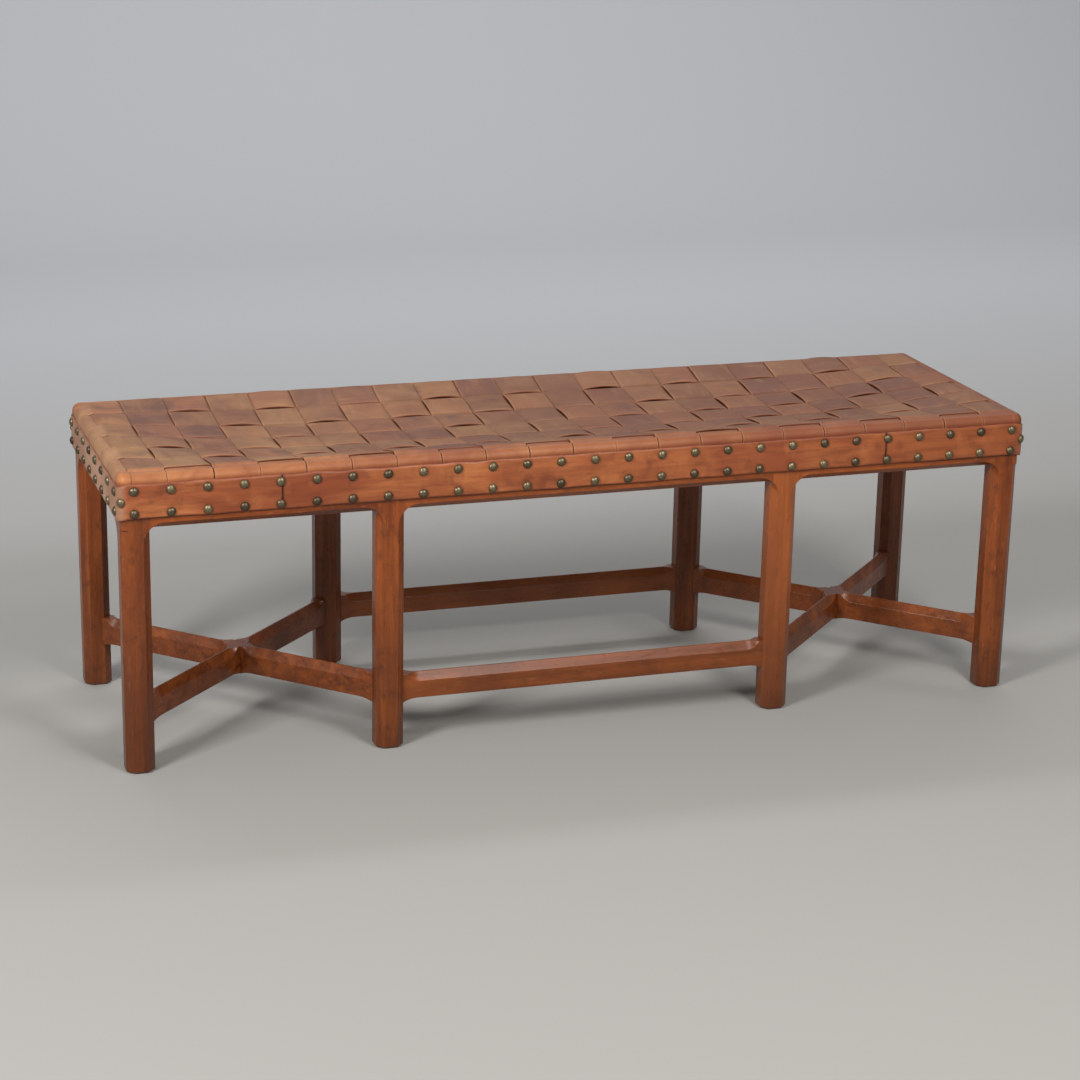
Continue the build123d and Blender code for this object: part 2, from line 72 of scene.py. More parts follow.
camera = bpy.data.objects.new("camera", bpy.data.cameras.new("camera"))
camera.data.lens = LENS_MM
camera.data.sensor_width = SENSOR_MM
camera.data.clip_end = FAR_CLIP
camera.matrix_world = aimed(right, top, -ahead, CAMERA_PLACE)
bpy.context.scene.collection.objects.link(camera)
bpy.context.scene.camera = camera
print("camera looks along", ahead.round(3))

# %% [markdown]
# ## Sizes that the leather follows
# On the real bench the leather is stretched over the finished frame. So its sizes here, in metres,
# repeat the frame's sizes, and everything else is worked out from them. The weave has 21 cross straps
# from front to back, and 6 long straps from end to end. The seat sinks in the middle.

# %% Sizes
WOOD_TOP = 0.447
HALF_LENGTH, HALF_DEPTH = 0.700, 0.210
RAIL = 0.021
SEAT_HALF = HALF_DEPTH - RAIL
ROLL_RADIUS = 0.009
CORNER_RADIUS = 0.010
CROSS_COUNT, LONG_COUNT = 21, 6
CROSS_PITCH = 2 * HALF_LENGTH / CROSS_COUNT
LONG_PITCH = 2 * SEAT_HALF / LONG_COUNT
OUTER_SETBACK = 0.014
OUTER_EDGE = HALF_LENGTH - OUTER_SETBACK
SAG, SAG_RUN, SAG_POWER = 0.024, 0.340, 2.3
LEATHER, LAYER_STEP = 0.0024, 0.0029
BAND_THICK, BAND_HEIGHT, BAND_DROP = 0.0023, 0.0503, 0.0035
BAND_SETDOWN, TAIL_RISE = 0.0114, 0.001
BAND_TOP = WOOD_TOP - BAND_SETDOWN
TAIL_BOTTOM = BAND_TOP - BAND_HEIGHT + TAIL_RISE
rng = np.random.default_rng(7)
print("cell", round(CROSS_PITCH * 1000, 1), "by", round(LONG_PITCH * 1000, 1), "mm")

# %% [markdown]
# ## Helpers for surfaces on a grid
# A strap could be modelled by hand and bent with modifiers, but then no two cells would fit each other.
# Every leather piece here is a grid of points, worked out with whole numpy arrays from one formula. A
# closed strip is a loop of points carried along a path, so its grid is joined round the loop, and its
# two ends are capped.

# %% Grid to mesh
def grid_faces(rows, columns, round_the_loop):
    """Quads between neighbouring rows and columns of a grid, numbered row by row.

    The corners of a quad are (r, c), (r, next c), (r + 1, next c) and (r + 1, c). Round a loop the
    first column is the next one after the last."""
    last = columns if round_the_loop else columns - 1
    r, c = np.meshgrid(np.arange(rows - 1), np.arange(last), indexing="ij")
    n = (c + 1) % columns
    corners = [r * columns + c, r * columns + n, (r + 1) * columns + n, (r + 1) * columns + c]
    return np.stack(corners, -1).reshape(-1, 4)


def make_piece(name, points, quads, caps=(), attributes=None):
    """A smooth mesh object at the origin, from points (n, 3), quads (m, 4) and longer cap polygons."""
    mesh = bpy.data.meshes.new(name)
    mesh.from_pydata(points.tolist(), [], quads.tolist() + [list(map(int, cap)) for cap in caps])
    mesh.polygons.foreach_set("use_smooth", np.full(len(mesh.polygons), True))
    for key, values in (attributes or {}).items():
        layer = mesh.attributes.new(key, "FLOAT", "POINT")
        layer.data.foreach_set("value", np.asarray(values, np.float32).ravel())
    mesh.update()
    piece = bpy.data.objects.new(name, mesh)
    bpy.context.scene.collection.objects.link(piece)
    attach(piece, "root")
    return piece


def closed_strip(name, points, flip, attributes):
    """Closed strip from points (rows, loop, 3), with a cap at each end. flip turns its faces round."""
    rows, loop = points.shape[:2]
    quads = grid_faces(rows, loop, True)
    caps = [np.arange(loop)[::-1], (rows - 1) * loop + np.arange(loop)]
    if flip:
        quads, caps = quads[:, ::-1], [cap[::-1] for cap in caps]
    return make_piece(name, points.reshape(-1, 3), quads, caps, attributes)


def smooth_step(t):
    """From 0 to 1 with level ends: 3 t^2 - 2 t^3."""
    return 3 * t**2 - 2 * t**3


print("helpers ready")

# %% [markdown]
# ## The section of a leather strap
# Cut leather has a flat top and bottom and small rounded edges, which are burnished darker than the
# face. A Bevel modifier could round the edges of a plain strip, but a section that is rounded from the
# start also says which points lie on the cut edge, so that the finish can darken them.

# %% Strap section
EDGE_ROUND = 0.0007
FACE_POINTS, ROUND_POINTS = 17, 3


def strap_loop(width, thickness):
    """Rounded rectangle as a loop: flat runs joined by the rounds of each cut edge.

    The points of a face are inner * sin(t), so they lie closer near the edges, where the leather
    bends. The points of an edge are inner + EDGE_ROUND * cos(t) across and EDGE_ROUND * sin(t) through,
    moved out from the middle. Returns across (n), through (n) and edge (n), which is 1 on the cut edge."""
    inner, swell = width / 2 - EDGE_ROUND, thickness / 2 - EDGE_ROUND
    face = inner * np.sin(np.linspace(-math.pi / 2, math.pi / 2, FACE_POINTS))
    turn = np.linspace(-math.pi / 2, math.pi / 2, ROUND_POINTS + 2)[1:-1]
    cut_x = inner + EDGE_ROUND * np.cos(turn)
    cut_z = EDGE_ROUND * np.sin(turn) + swell * np.sign(np.round(turn, 6))
    upper = np.full(FACE_POINTS, thickness / 2)
    across = np.concatenate([face, cut_x[::-1], face[::-1], -cut_x])
    through = np.concatenate([upper, cut_z[::-1], -upper, cut_z])
    edge = np.concatenate([np.zeros(FACE_POINTS), np.ones(ROUND_POINTS)] * 2)
    return across, through, edge


print("loop of", len(strap_loop(CROSS_PITCH, LEATHER)[0]), "points")

# %% [markdown]
# ## The weave
# The straps were woven over and under each other, and years of use have let them sink and drift. A
# cloth simulation could settle them, but its result would be hard to steer, so formulas are used. These
# values say where the straps' edges lie. On the rails they are even. In the seat each long strap has
# drifted 2 mm further back than the one before, and each cross strap a random millimetre or two.

# %% Weave places
ROLL_GAP, WEAVE_GAP = 0.0005, 0.0008
ROW_DRIFT_STEP, LAST_ROW_DRIFT, DRIFT_RUN = 0.0020, 0.0025, 0.08
COLUMN_DRIFT, COLUMN_SPREAD, MOST_DRIFT, LEAST_DRIFT = -0.0016, 0.0005, -0.0026, -0.0006
row_drift = np.append(ROW_DRIFT_STEP * np.arange(LONG_COUNT), LAST_ROW_DRIFT)
column_drift = np.clip(rng.normal(COLUMN_DRIFT, COLUMN_SPREAD, CROSS_COUNT), MOST_DRIFT, LEAST_DRIFT)


def end_fade(x):
    """0 at the outer cross straps' edges, rising evenly to 1 at DRIFT_RUN from them."""
    return np.clip((OUTER_EDGE - abs(x)) / DRIFT_RUN, 0, 1)


def seat_fade(y):
    """0 on the front and back rails and 1 in the middle of the seat: 1 - (y / half)^2."""
    return np.clip(1 - (y / SEAT_HALF) ** 2, 0, 1)


def half_gap(fade):
    """Half the gap beside a strap, from ROLL_GAP on the rails to WEAVE_GAP in the seat."""
    return (ROLL_GAP + (WEAVE_GAP - ROLL_GAP) * fade) / 2


def row_edges(x):
    """Edges of the long straps at x, or a line of them over an array x: even place + drift * fade."""
    even = (np.arange(LONG_COUNT + 1) - LONG_COUNT / 2) * LONG_PITCH
    return (even + np.multiply.outer(end_fade(x), row_drift)).T


def column_edges(y):
    """Edges of the cross straps at y: even place + drift * fade, held inside the outer edges."""
    drift = np.concatenate([[0.0], (column_drift[1:] + column_drift[:-1]) / 2, [0.0]])
    edges = (np.arange(CROSS_COUNT + 1) - CROSS_COUNT / 2) * CROSS_PITCH + drift * seat_fade(y)
    return np.clip(edges, -OUTER_EDGE, OUTER_EDGE)


print("row edges in the seat:", (row_edges(0.0) * 1000).round(0))

# %% [markdown]
# ## The height of a strap
# A strap's height follows three things. The seat sinks in a shallow arch. Each strap swaps between the
# upper and the lower layer at every cell. And stiff leather bows up where it passes over, so each cell
# is a little bridge with a dark slot under its edge. Three short formulas are added up, because each
# can then be set against the photograph by itself.

# %% Weave heights
STEP_HALF = 0.0048
CROWN, LEAST_CROWN, MOST_CROWN = 0.0021, 0.4, 1.5
HELD_CROWN, UNDER_CROWN = 0.35, -0.4
WAVES, WAVE_GAIN, SLOWEST, FASTEST = 4, 1.6, 0.6, 1.6


def sag(x, y):
    """Depth of the sunk seat: SAG * (1 - (1 - inside)^2) * (1 - |y / half|^SAG_POWER).

    inside goes from 0 at the outer cross straps to 1 at SAG_RUN from them, so the arch across the
    depth fades in from both ends."""
    inside = np.clip((OUTER_EDGE - np.abs(x)) / SAG_RUN, 0, 1)
    return SAG * (1 - (1 - inside) ** 2) * (1 - np.clip(np.abs(y) / SEAT_HALF, 0, 1) ** SAG_POWER)


def weave_height(s, edges, over, stiff):
    """Rise of a strap above the flat wood along its length s, its arch, cells, bow and depth under.

    Each cell is on the upper or the lower layer, and on the rails the strap lies on the wood. A smooth
    step about each boundary joins two levels, and a parabola, crown * (1 - (s from the middle / half
    a cell)^2), bows each cell. The first and last cells are held down by the rail, so they bow less."""
    levels = np.concatenate([[0.0], over * 1.0, [0.0]])
    level = np.zeros_like(s)
    for k, edge in enumerate(edges):
        level += (levels[k + 1] - levels[k]) * smooth_step(np.clip((s - edge) / (2 * STEP_HALF) + 0.5, 0, 1))
    woven = np.clip(np.minimum(s - edges[0], edges[-1] - s) / STEP_HALF - 0.5, 0, 1)
    cell = np.clip(np.searchsorted(edges, s) - 1, 0, len(over) - 1)
    middle, half = (edges[cell] + edges[cell + 1]) / 2, (edges[cell + 1] - edges[cell]) / 2
    bow = np.clip(1 - ((s - middle) / half) ** 2, 0, 1)
    crowns = CROWN * stiff * rng.uniform(LEAST_CROWN, MOST_CROWN, len(over))
    crowns[[0, -1]] *= HELD_CROWN
    arch = crowns[cell] * bow * np.where(over[cell], 1.0, UNDER_CROWN)
    return LEATHER / 2 + LAYER_STEP * level, arch, cell, bow * over[cell], np.clip(woven - level, 0, 1)


def slow_noise(s, length, size):
    """Mean of a few sine waves, sin(rate * s + phase), of about one length, for edges that wander."""
    steps = rng.uniform(SLOWEST, FASTEST, WAVES) * 2 * math.pi / length
    phases = rng.uniform(0, 2 * math.pi, WAVES)
    return size / WAVES * np.sin(np.multiply.outer(s, steps) + phases).sum(-1) * WAVE_GAIN


print("sag in the middle:", round(float(sag(0.0, 0.0)) * 1000, 1), "mm")

# %% [markdown]
# ## The path of a strap
# Each strap starts behind the band, climbs the rail's face, turns over its rounded edge and crosses the
# seat. A curve object could carry it, but here the path is a list of points with a normal at each, so
# that the points can be crowded where the leather bends.

# %% Strap path
TURN_POINTS, TAIL_POINTS, CELL_POINTS, FINE_POINTS = 9, 8, 26, 4001
DRAW_SHARE = 0.6
LANDING = 0.001
ROLL_FADE, ROLL_EDGE = 0.3, 0.005


def draw_together(s, pitch, count):
    """Places s drawn to the cell boundaries: s - share * pitch / (2 pi) * sin(2 pi * s in cells)."""
    return s - DRAW_SHARE * pitch / (2 * math.pi) * np.sin(2 * math.pi * (s / pitch - count / 2))


def strap_path(outer, tail_bottom, pitch, count):
    """Middle line of a strap in its upright plane, from one tail to the other.

    The tail is upright, a quarter circle, centre + radius * (cos t, sin t), carries it over the rail's
    rounded edge, and the rest is flat. Returns along, height (nan where it is woven), the outward
    normal, and roll, which is 1 on the turned-down part and fades out at the rail's inner edge."""
    radius = ROLL_RADIUS + LEATHER / 2
    centre, spring = outer - ROLL_RADIUS, WOOD_TOP - ROLL_RADIUS
    turn = np.linspace(0, math.pi / 2, TURN_POINTS)
    along = np.concatenate([np.full(TAIL_POINTS, outer + LEATHER / 2), centre + radius * np.cos(turn)])
    height = np.concatenate([np.linspace(tail_bottom, spring, TAIL_POINTS + 1)[:-1],
                             spring + radius * np.sin(turn)])
    normal = np.concatenate([np.tile([1.0, 0.0], (TAIL_POINTS, 1)), np.stack([np.cos(turn), np.sin(turn)], -1)])
    roll = np.concatenate([np.ones(TAIL_POINTS), 1 - ROLL_FADE * turn / (math.pi / 2)])
    fine = np.linspace(-outer - pitch, outer + pitch, FINE_POINTS)
    start = np.interp(-(outer - ROLL_RADIUS - LANDING), draw_together(fine, pitch, count), fine)
    woven = draw_together(np.linspace(start, -start, count * CELL_POINTS), pitch, count)
    woven_roll = (1 - ROLL_FADE) * np.clip((np.abs(woven) - outer + RAIL) / ROLL_EDGE, 0, 1)
    return (np.concatenate([-along, woven, along[::-1]]),
            np.concatenate([height, np.full(len(woven), np.nan), height[::-1]]),
            np.concatenate([normal * [-1, 1], np.tile([0.0, 1.0], (len(woven), 1)), normal[::-1]]),
            np.concatenate([roll, woven_roll, roll[::-1]]))


cross_path = strap_path(HALF_DEPTH, TAIL_BOTTOM, LONG_PITCH, LONG_COUNT)
long_path = strap_path(HALF_LENGTH, TAIL_BOTTOM - BAND_DROP, CROSS_PITCH, CROSS_COUNT)
print("paths of", len(cross_path[0]), "and", len(long_path[0]), "points")

# %% [markdown]
# ## Making one strap
# The section is carried along the path. In the weave each point also sinks with the seat at its own
# place, so neighbouring straps stay side by side. Each bridge tilts a little, mostly up at the front or
# the left, which opens the slots there. The outer margin of the first and last cross straps was pared
# thin, which leatherworkers call skiving, so it lies flat on the rail. Numbers stored on the points tell
# the finish the tone of each cell, the cut edge, how far the leather has dived under, and where it is
# turned down over the rail.

# %% Make a strap
SKIVE_START, SKIVE_RUN, SKIVE_EDGE = 0.45, 0.5, 0.006
SKIVED_AWAY, SKIVED_SINK, SKIVED_VARIETY = 0.85, 0.14, 0.4
BLEND_POINTS = 7
WANDER_LENGTH, WANDER, WIDTH_LENGTH, WIDTH_CHANGE = 0.3, 0.0004, 0.12, 0.004
TILT, TILT_SPREAD = 0.0004, 0.0006
EDGE_CURL, CURL_POWER = 0.0012, 9


def pared(share, along, skived):
    """How far each point is pared: a smooth step over the skived side's margin, on the seat only."""
    ramp = smooth_step(np.clip((share * skived - SKIVE_START) / SKIVE_RUN, 0, 1))
    return ramp[None, :] * np.clip((SEAT_HALF - np.abs(along)) / SKIVE_EDGE, 0, 1)[:, None]


def blended(values):
    """Running mean along the strap, so that the tone changes softly from cell to cell."""
    share = np.full(BLEND_POINTS, 1 / BLEND_POINTS)
    return np.convolve(np.pad(values, BLEND_POINTS // 2, "edge"), share, "valid")


def make_strap(name, low, high, edges, over, path, lengthwise, stiff=1.0, tilts=TILT, skived=0):
    """One woven strap between its side lines low and high, which are given at the points of its path.

    lengthwise straps run along X, the others along Y. point = path + across * side + through * normal,
    with the weave's height, the tilt of the cell and the sag added. The sides curl down by EDGE_CURL *
    share^CURL_POWER. A skived side (-1 or 1) loses thickness and bow where it is pared."""
    along, height, normal, roll = path
    across, through, edge = strap_loop(CROSS_PITCH, LEATHER)
    share = across / (CROSS_PITCH / 2)
    woven = np.isnan(height)
    rise, arch, cell, bow, under = weave_height(along, edges, over, stiff)
    height = np.where(woven, WOOD_TOP + rise, height)
    pare = pared(share, along, skived)
    tone, hue = rng.uniform(-1, 1, (2, len(over)))[:, cell] * (SKIVED_VARIETY if skived else 1.0)
    middle = (low + high) / 2 + slow_noise(along, WANDER_LENGTH, WANDER)
    half = (high - low) / 2 * (1 + slow_noise(along, WIDTH_LENGTH, WIDTH_CHANGE))
    side = middle[:, None] + share[None, :] * half[:, None]
    tilt = rng.normal(tilts, TILT_SPREAD, len(over))[cell] * bow
    curl = (EDGE_CURL * np.abs(share) ** CURL_POWER)[None, :] * woven[:, None] * (1 - pare)
    lift = through[None, :] - curl
    lift = lift - SKIVED_AWAY * pare * (lift + LEATHER / 2)
    reach = along[:, None] + lift * normal[:, 0:1]
    z = height[:, None] + lift * normal[:, 1:2]
    z = z + ((arch * woven)[:, None] - share[None, :] * tilt[:, None]) * (1 - pare)
    z = z - SKIVED_SINK * (rise - LEATHER / 2)[:, None] * pare
    x, y = (reach, side) if lengthwise else (side, reach)
    z = z - np.where(woven[:, None], sag(x, y), 0)
    spread = np.ones_like(z)
    return closed_strip(name, np.stack([x, y, z], -1), not lengthwise, {
        "tone": blended(tone)[:, None] * spread, "hue": blended(hue)[:, None] * spread,
        "edge": edge[None, :] * (1 - pare), "roll": roll[:, None] * spread,
        "side": share[None, :] * (1 - pare), "under": (under * woven)[:, None] * spread})


print("strap maker ready")

# %% Cross straps
RAIL_LAP = 0.004
rail_lap = np.array([-RAIL_LAP] + [0.0] * (LONG_COUNT - 1) + [RAIL_LAP])
fade = seat_fade(cross_path[0])
leather_pieces = []
for j in range(CROSS_COUNT):
    low, high = np.clip((np.array([j, j + 1]) - CROSS_COUNT / 2) * CROSS_PITCH, -OUTER_EDGE, OUTER_EDGE)
    first, last = j == 0, j == CROSS_COUNT - 1
    piece = make_strap(f"cross_{j + 1:02d}",
                       low + (not first) * half_gap(fade) + column_drift[j] * fade,
                       high - (not last) * half_gap(fade) + column_drift[j] * fade,
                       row_edges((low + high) / 2) + rail_lap, (np.arange(LONG_COUNT) + j) % 2 == 0,
                       cross_path, False, skived=int(last) - int(first))
    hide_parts(f"cross_strap_{j + 1:02d}")
    leather_pieces.append(piece)
print(len(leather_pieces), "cross straps")

# %% Long straps
FRONT_STIFF, FRONT_TILT = 0.45, -0.0003
fade = end_fade(long_path[0])
row_lines = row_edges(long_path[0])
for i in range(LONG_COUNT):
    laid_flat = {"stiff": FRONT_STIFF, "tilts": FRONT_TILT} if i == 0 else {}
    piece = make_strap(f"long_{i + 1}", row_lines[i] + half_gap(fade), row_lines[i + 1] - half_gap(fade),
                       column_edges(row_edges(0.0)[i:i + 2].mean()), (np.arange(CROSS_COUNT) + i) % 2 == 1,
                       long_path, True, **laid_flat)
    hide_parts(f"long_strap_{i + 1}")
    leather_pieces.append(piece)
print(LONG_COUNT, "long straps")

# %% [markdown]
# ## The corners
# At each corner the leather is pulled smoothly round the corner, and no seam shows. It could be the end
# of a strap, folded, but then a seam would show. So a patch of its own is drawn over the corner: a
# fan of points starts at the inner corner, spreads over the flat wood, and rolls down all round the
# rounded edge. It laps a few millimetres over the straps beside it, so there is no gap.

# %% Corner leather
PATCH_LAP, PATCH_CLEAR, PATCH_THICKNESS = 0.003, 0.00012, 0.8 * LEATHER
PATCH_TAIL, PATCH_FRONT, PATCH_ARC, PATCH_END = 6, 3, 13, 5


def make_corner(name, sx, sy):
    """Corner patch: rings of one profile, carried round a path in plan: point = base + reach * outward.

    The path is straight beside the front, a quarter circle round the corner and straight beside the
    end. reach grows as CORNER_RADIUS - ROLL_RADIUS + radius * sin(t) while the height falls as radius *
    cos(t), and below that the leather hangs straight. Solidify gives it its thickness."""
    centre = np.array([HALF_LENGTH - CORNER_RADIUS, HALF_DEPTH - CORNER_RADIUS])
    start = np.array([OUTER_EDGE - PATCH_LAP, SEAT_HALF - PATCH_LAP])
    radius, spring = ROLL_RADIUS + LEATHER, WOOD_TOP - ROLL_RADIUS
    turn = np.linspace(0, math.pi / 2, TURN_POINTS)
    reach = np.concatenate([[0.0], CORNER_RADIUS - ROLL_RADIUS + radius * np.sin(turn),
                            np.full(PATCH_TAIL, CORNER_RADIUS + LEATHER)]) + PATCH_CLEAR
    height = np.concatenate([[WOOD_TOP + LEATHER], spring + radius * np.cos(turn),
                             np.linspace(spring, TAIL_BOTTOM, PATCH_TAIL + 1)[1:]]) + PATCH_CLEAR
    front_x = np.linspace(start[0], centre[0], PATCH_FRONT + 1)[:-1]
    end_y = np.linspace(centre[1], start[1], PATCH_END + 1)[1:]
    base = np.concatenate([np.stack([front_x, np.full(PATCH_FRONT, centre[1])], -1),
                           np.tile(centre, (PATCH_ARC, 1)),
                           np.stack([np.full(PATCH_END, centre[0]), end_y], -1)])
    arc = np.linspace(0, math.pi / 2, PATCH_ARC)
    outward = np.concatenate([np.tile([0.0, 1.0], (PATCH_FRONT, 1)), np.stack([np.sin(arc), np.cos(arc)], -1),
                              np.tile([1.0, 0.0], (PATCH_END, 1))])
    plan = base[None] + reach[:, None, None] * outward[None]
    plan[0] = start
    heights = np.broadcast_to(height[:, None, None], plan.shape[:2] + (1,))
    points = np.concatenate([plan * [sx, sy], heights], -1)
    rows, columns = points.shape[:2]
    quads = grid_faces(rows, columns, False)
    if sx * sy < 0:
        quads = quads[:, ::-1]
    roll = np.concatenate([[1 - ROLL_FADE], 1 - ROLL_FADE + ROLL_FADE * turn / (math.pi / 2), np.ones(PATCH_TAIL)])
    stored = dict.fromkeys(("tone", "hue", "edge", "roll", "side", "under"), np.zeros(rows * columns))
    stored["roll"] = roll[:, None] * np.ones(columns)
    piece = make_piece(name, points.reshape(-1, 3), quads, (), stored)
    wall = piece.modifiers.new("wall", "SOLIDIFY")
    wall.thickness = PATCH_THICKNESS
    wall.offset = -1
    return piece


for end_name, sy in (("front", -1), ("back", 1)):
    for side_name, sx in (("left", -1), ("right", 1)):
        leather_pieces.append(make_corner(f"corner_{end_name}_{side_name}", sx, sy))
print("4 corners")

# %% [markdown]
# ## Nails
# A domed nail has a low round head with a thin rim. The rows could be copies of one head, but old nails
# are worn and not set quite square. So each head is a round profile of its own, turned about the nail,
# with a slight lean and a slightly uneven outline. All nails of one side are one piece.

# %% Nail places
NAIL_COLUMNS, NAIL_INSET = 27, 0.019
END_COLUMNS, END_INSET = 8, 0.0175
LOWER_INSET, UPPER_INSET, END_LOWER_INSET = 0.0076, 0.0098, 0.0115
LOWER_NAIL, UPPER_NAIL = BAND_TOP - BAND_HEIGHT + LOWER_INSET, BAND_TOP - UPPER_INSET
END_LOWER, END_UPPER = BAND_TOP - BAND_HEIGHT + END_LOWER_INSET - BAND_DROP, UPPER_NAIL - BAND_DROP
CAD_STRAP = 0.0020
SHELL = CAD_STRAP + BAND_THICK
CORNER_TURN, CORNER_SETDOWN = math.radians(50), 0.0375
CORNER_NAIL = WOOD_TOP - CORNER_SETDOWN


def nail_places():
    """Places of the nails as {side: (points, outward directions)}.

    Each row divides its side evenly. A corner nail stands at the corner's centre + (radius + shell) *
    (cos, sin) of CORNER_TURN."""
    sides = {}
    for side, sy in (("front", -1), ("back", 1)):
        x = np.tile(np.linspace(-1, 1, NAIL_COLUMNS) * (HALF_LENGTH - NAIL_INSET), 2)
        z = np.repeat([LOWER_NAIL, UPPER_NAIL], NAIL_COLUMNS)
        sides[side] = (np.stack([x, np.full_like(x, sy * (HALF_DEPTH + SHELL)), z], -1),
                       np.tile([0.0, sy, 0.0], (len(x), 1)))
    for side, sx in (("left", -1), ("right", 1)):
        y = np.tile(np.linspace(-1, 1, END_COLUMNS) * (HALF_DEPTH - END_INSET), 2)
        z = np.repeat([END_LOWER, END_UPPER], END_COLUMNS)
        places = np.stack([np.full_like(y, sx * (HALF_LENGTH + SHELL)), y, z], -1)
        outward = np.tile([sx, 0.0, 0.0], (len(y), 1))
        for sy in (-1, 1):
            direction = np.array([sx * math.cos(CORNER_TURN), sy * math.sin(CORNER_TURN), 0.0])
            centre = np.array([sx * (HALF_LENGTH - CORNER_RADIUS), sy * (HALF_DEPTH - CORNER_RADIUS), CORNER_NAIL])
            places = np.vstack([places, centre + direction * (CORNER_RADIUS + SHELL)])
            outward = np.vstack([outward, direction])
        sides[side] = (places, outward)
    return sides


nail_sides = nail_places()
print("nails:", {side: len(places) for side, (places, _) in nail_sides.items()})

# %% Nail heads
HEAD_RADIUS, HEAD_HEIGHT = 0.0070, 0.0048
HEAD_SIDES, HEAD_RINGS = 10, 6
RIM_DEPTH, RIM_SHARE = 0.0006, 0.93
LEAN, OVAL, OVAL_TURN, UNEVEN = 0.05, 0.04, 6, 0.012


def make_nails(side, places, outward):
    """Domes on a ring of sides: radius * cos(t) out and height * sin(t) up, from the rim to the tip."""
    t = np.linspace(0, math.pi / 2, HEAD_RINGS)[:-1]
    heights = np.concatenate([[-RIM_DEPTH], HEAD_HEIGHT * np.sin(t)])
    radii = np.concatenate([[RIM_SHARE], np.cos(t)]) * HEAD_RADIUS
    spin = np.arange(HEAD_SIDES) / HEAD_SIDES * 2 * math.pi
    head_points = HEAD_RINGS * HEAD_SIDES + 1
    all_points, all_quads, all_caps, tones = [], [], [], []
    for index, (place, direction) in enumerate(zip(places, outward)):
        lean = direction + rng.normal(0, LEAN, 3)
        lean /= np.linalg.norm(lean)
        across = np.cross([0.0, 0.0, 1.0], lean)
        across /= np.linalg.norm(across)
        other = np.cross(lean, across)
        outline = 1 + OVAL * np.sin(2 * spin + rng.uniform(0, OVAL_TURN)) + rng.normal(0, UNEVEN, HEAD_SIDES)
        ring = (np.cos(spin)[:, None] * across + np.sin(spin)[:, None] * other) * outline[:, None]
        points = place + radii[:, None, None] * ring[None] + heights[:, None, None] * lean
        base = index * head_points
        tip = base + head_points - 1
        last = tip - HEAD_SIDES + np.arange(HEAD_SIDES)
        all_points.append(np.vstack([points.reshape(-1, 3), place + lean * HEAD_HEIGHT]))
        all_quads.append(grid_faces(HEAD_RINGS, HEAD_SIDES, True) + base)
        all_caps.extend(np.stack([last, np.roll(last, -1), np.full(HEAD_SIDES, tip)], -1))
        all_caps.append(base + np.arange(HEAD_SIDES)[::-1])
        tones.append(np.full(head_points, rng.uniform(0, 1)))
    piece = make_piece(f"nail_heads_{side}", np.vstack(all_points), np.vstack(all_quads), all_caps,
                       {"tone": np.concatenate(tones)})
    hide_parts(f"nails_{side}")
    return piece


nail_pieces = [make_nails(side, *places) for side, places in nail_sides.items()]
print(len(nail_pieces), "groups of nails")

# %% [markdown]
# ## The band
# The band is one strip of leather nailed round the edge, in four lengths. Nails pull it in, and between
# them it stands off a little. Across the ends it sits lower than along the sides, so it slopes round
# the corners. A flat strip with a picture of dimples would look flat at the rim, so the dimples are in
# the shape: a length is a grid of path by height, closed at the back and the edges.

# %% Band paths
SEAM_COLUMN, SEAM_SETBACK, SEAM_GAP = 9, 0.00246, 0.0003
SEAM = SEAM_COLUMN * 2 * (HALF_LENGTH - NAIL_INSET) / (NAIL_COLUMNS - 1) - SEAM_SETBACK
PATH_STEP = 0.0025
SIDE_POINTS, RUN_POINTS, ACROSS_POINTS = 376, 90, 160


def side_plan(sy):
    """Straight path between the seams, with its outward direction and no drop."""
    x = np.linspace(-SEAM + SEAM_GAP, SEAM - SEAM_GAP, SIDE_POINTS) * -sy
    plan = np.stack([x, np.full_like(x, sy * HALF_DEPTH)], -1)
    return plan, np.tile([0.0, sy], (len(x), 1)), np.zeros(len(x))


def end_plan(sx):
    """Path from seam to seam round one end: straight, quarter circle, straight, quarter circle, straight.

    A quarter circle is centre + radius * (sin t, cos t). The drop grows evenly with x round it."""
    cx, cy = HALF_LENGTH - CORNER_RADIUS, HALF_DEPTH - CORNER_RADIUS
    run = np.linspace(SEAM + SEAM_GAP, cx, RUN_POINTS)
    arc = np.linspace(0, math.pi / 2, TURN_POINTS)[1:-1]
    across = np.linspace(-cy, cy, ACROSS_POINTS)
    sine, cosine = np.sin(arc), np.cos(arc)
    plan = np.concatenate([
        np.stack([run, np.full(RUN_POINTS, -HALF_DEPTH)], -1),
        np.stack([cx + CORNER_RADIUS * sine, -cy - CORNER_RADIUS * cosine], -1),
        np.stack([np.full(ACROSS_POINTS, HALF_LENGTH), across], -1),
        np.stack([cx + CORNER_RADIUS * cosine, cy + CORNER_RADIUS * sine], -1),
        np.stack([run[::-1], np.full(RUN_POINTS, HALF_DEPTH)], -1)])
    out = np.concatenate([
        np.tile([0.0, -1.0], (RUN_POINTS, 1)), np.stack([sine, -cosine], -1),
        np.tile([1.0, 0.0], (ACROSS_POINTS, 1)), np.stack([cosine, sine], -1),
        np.tile([0.0, 1.0], (RUN_POINTS, 1))])
    drop = BAND_DROP * np.clip((plan[:, 0] - cx) / (HALF_LENGTH - cx), 0, 1)
    if sx < 0:
        plan, out, drop = (plan * [-1, 1])[::-1], (out * [-1, 1])[::-1], drop[::-1]
    return plan, out, drop


print("seams at", round(SEAM * 1000, 1), "mm from the middle")

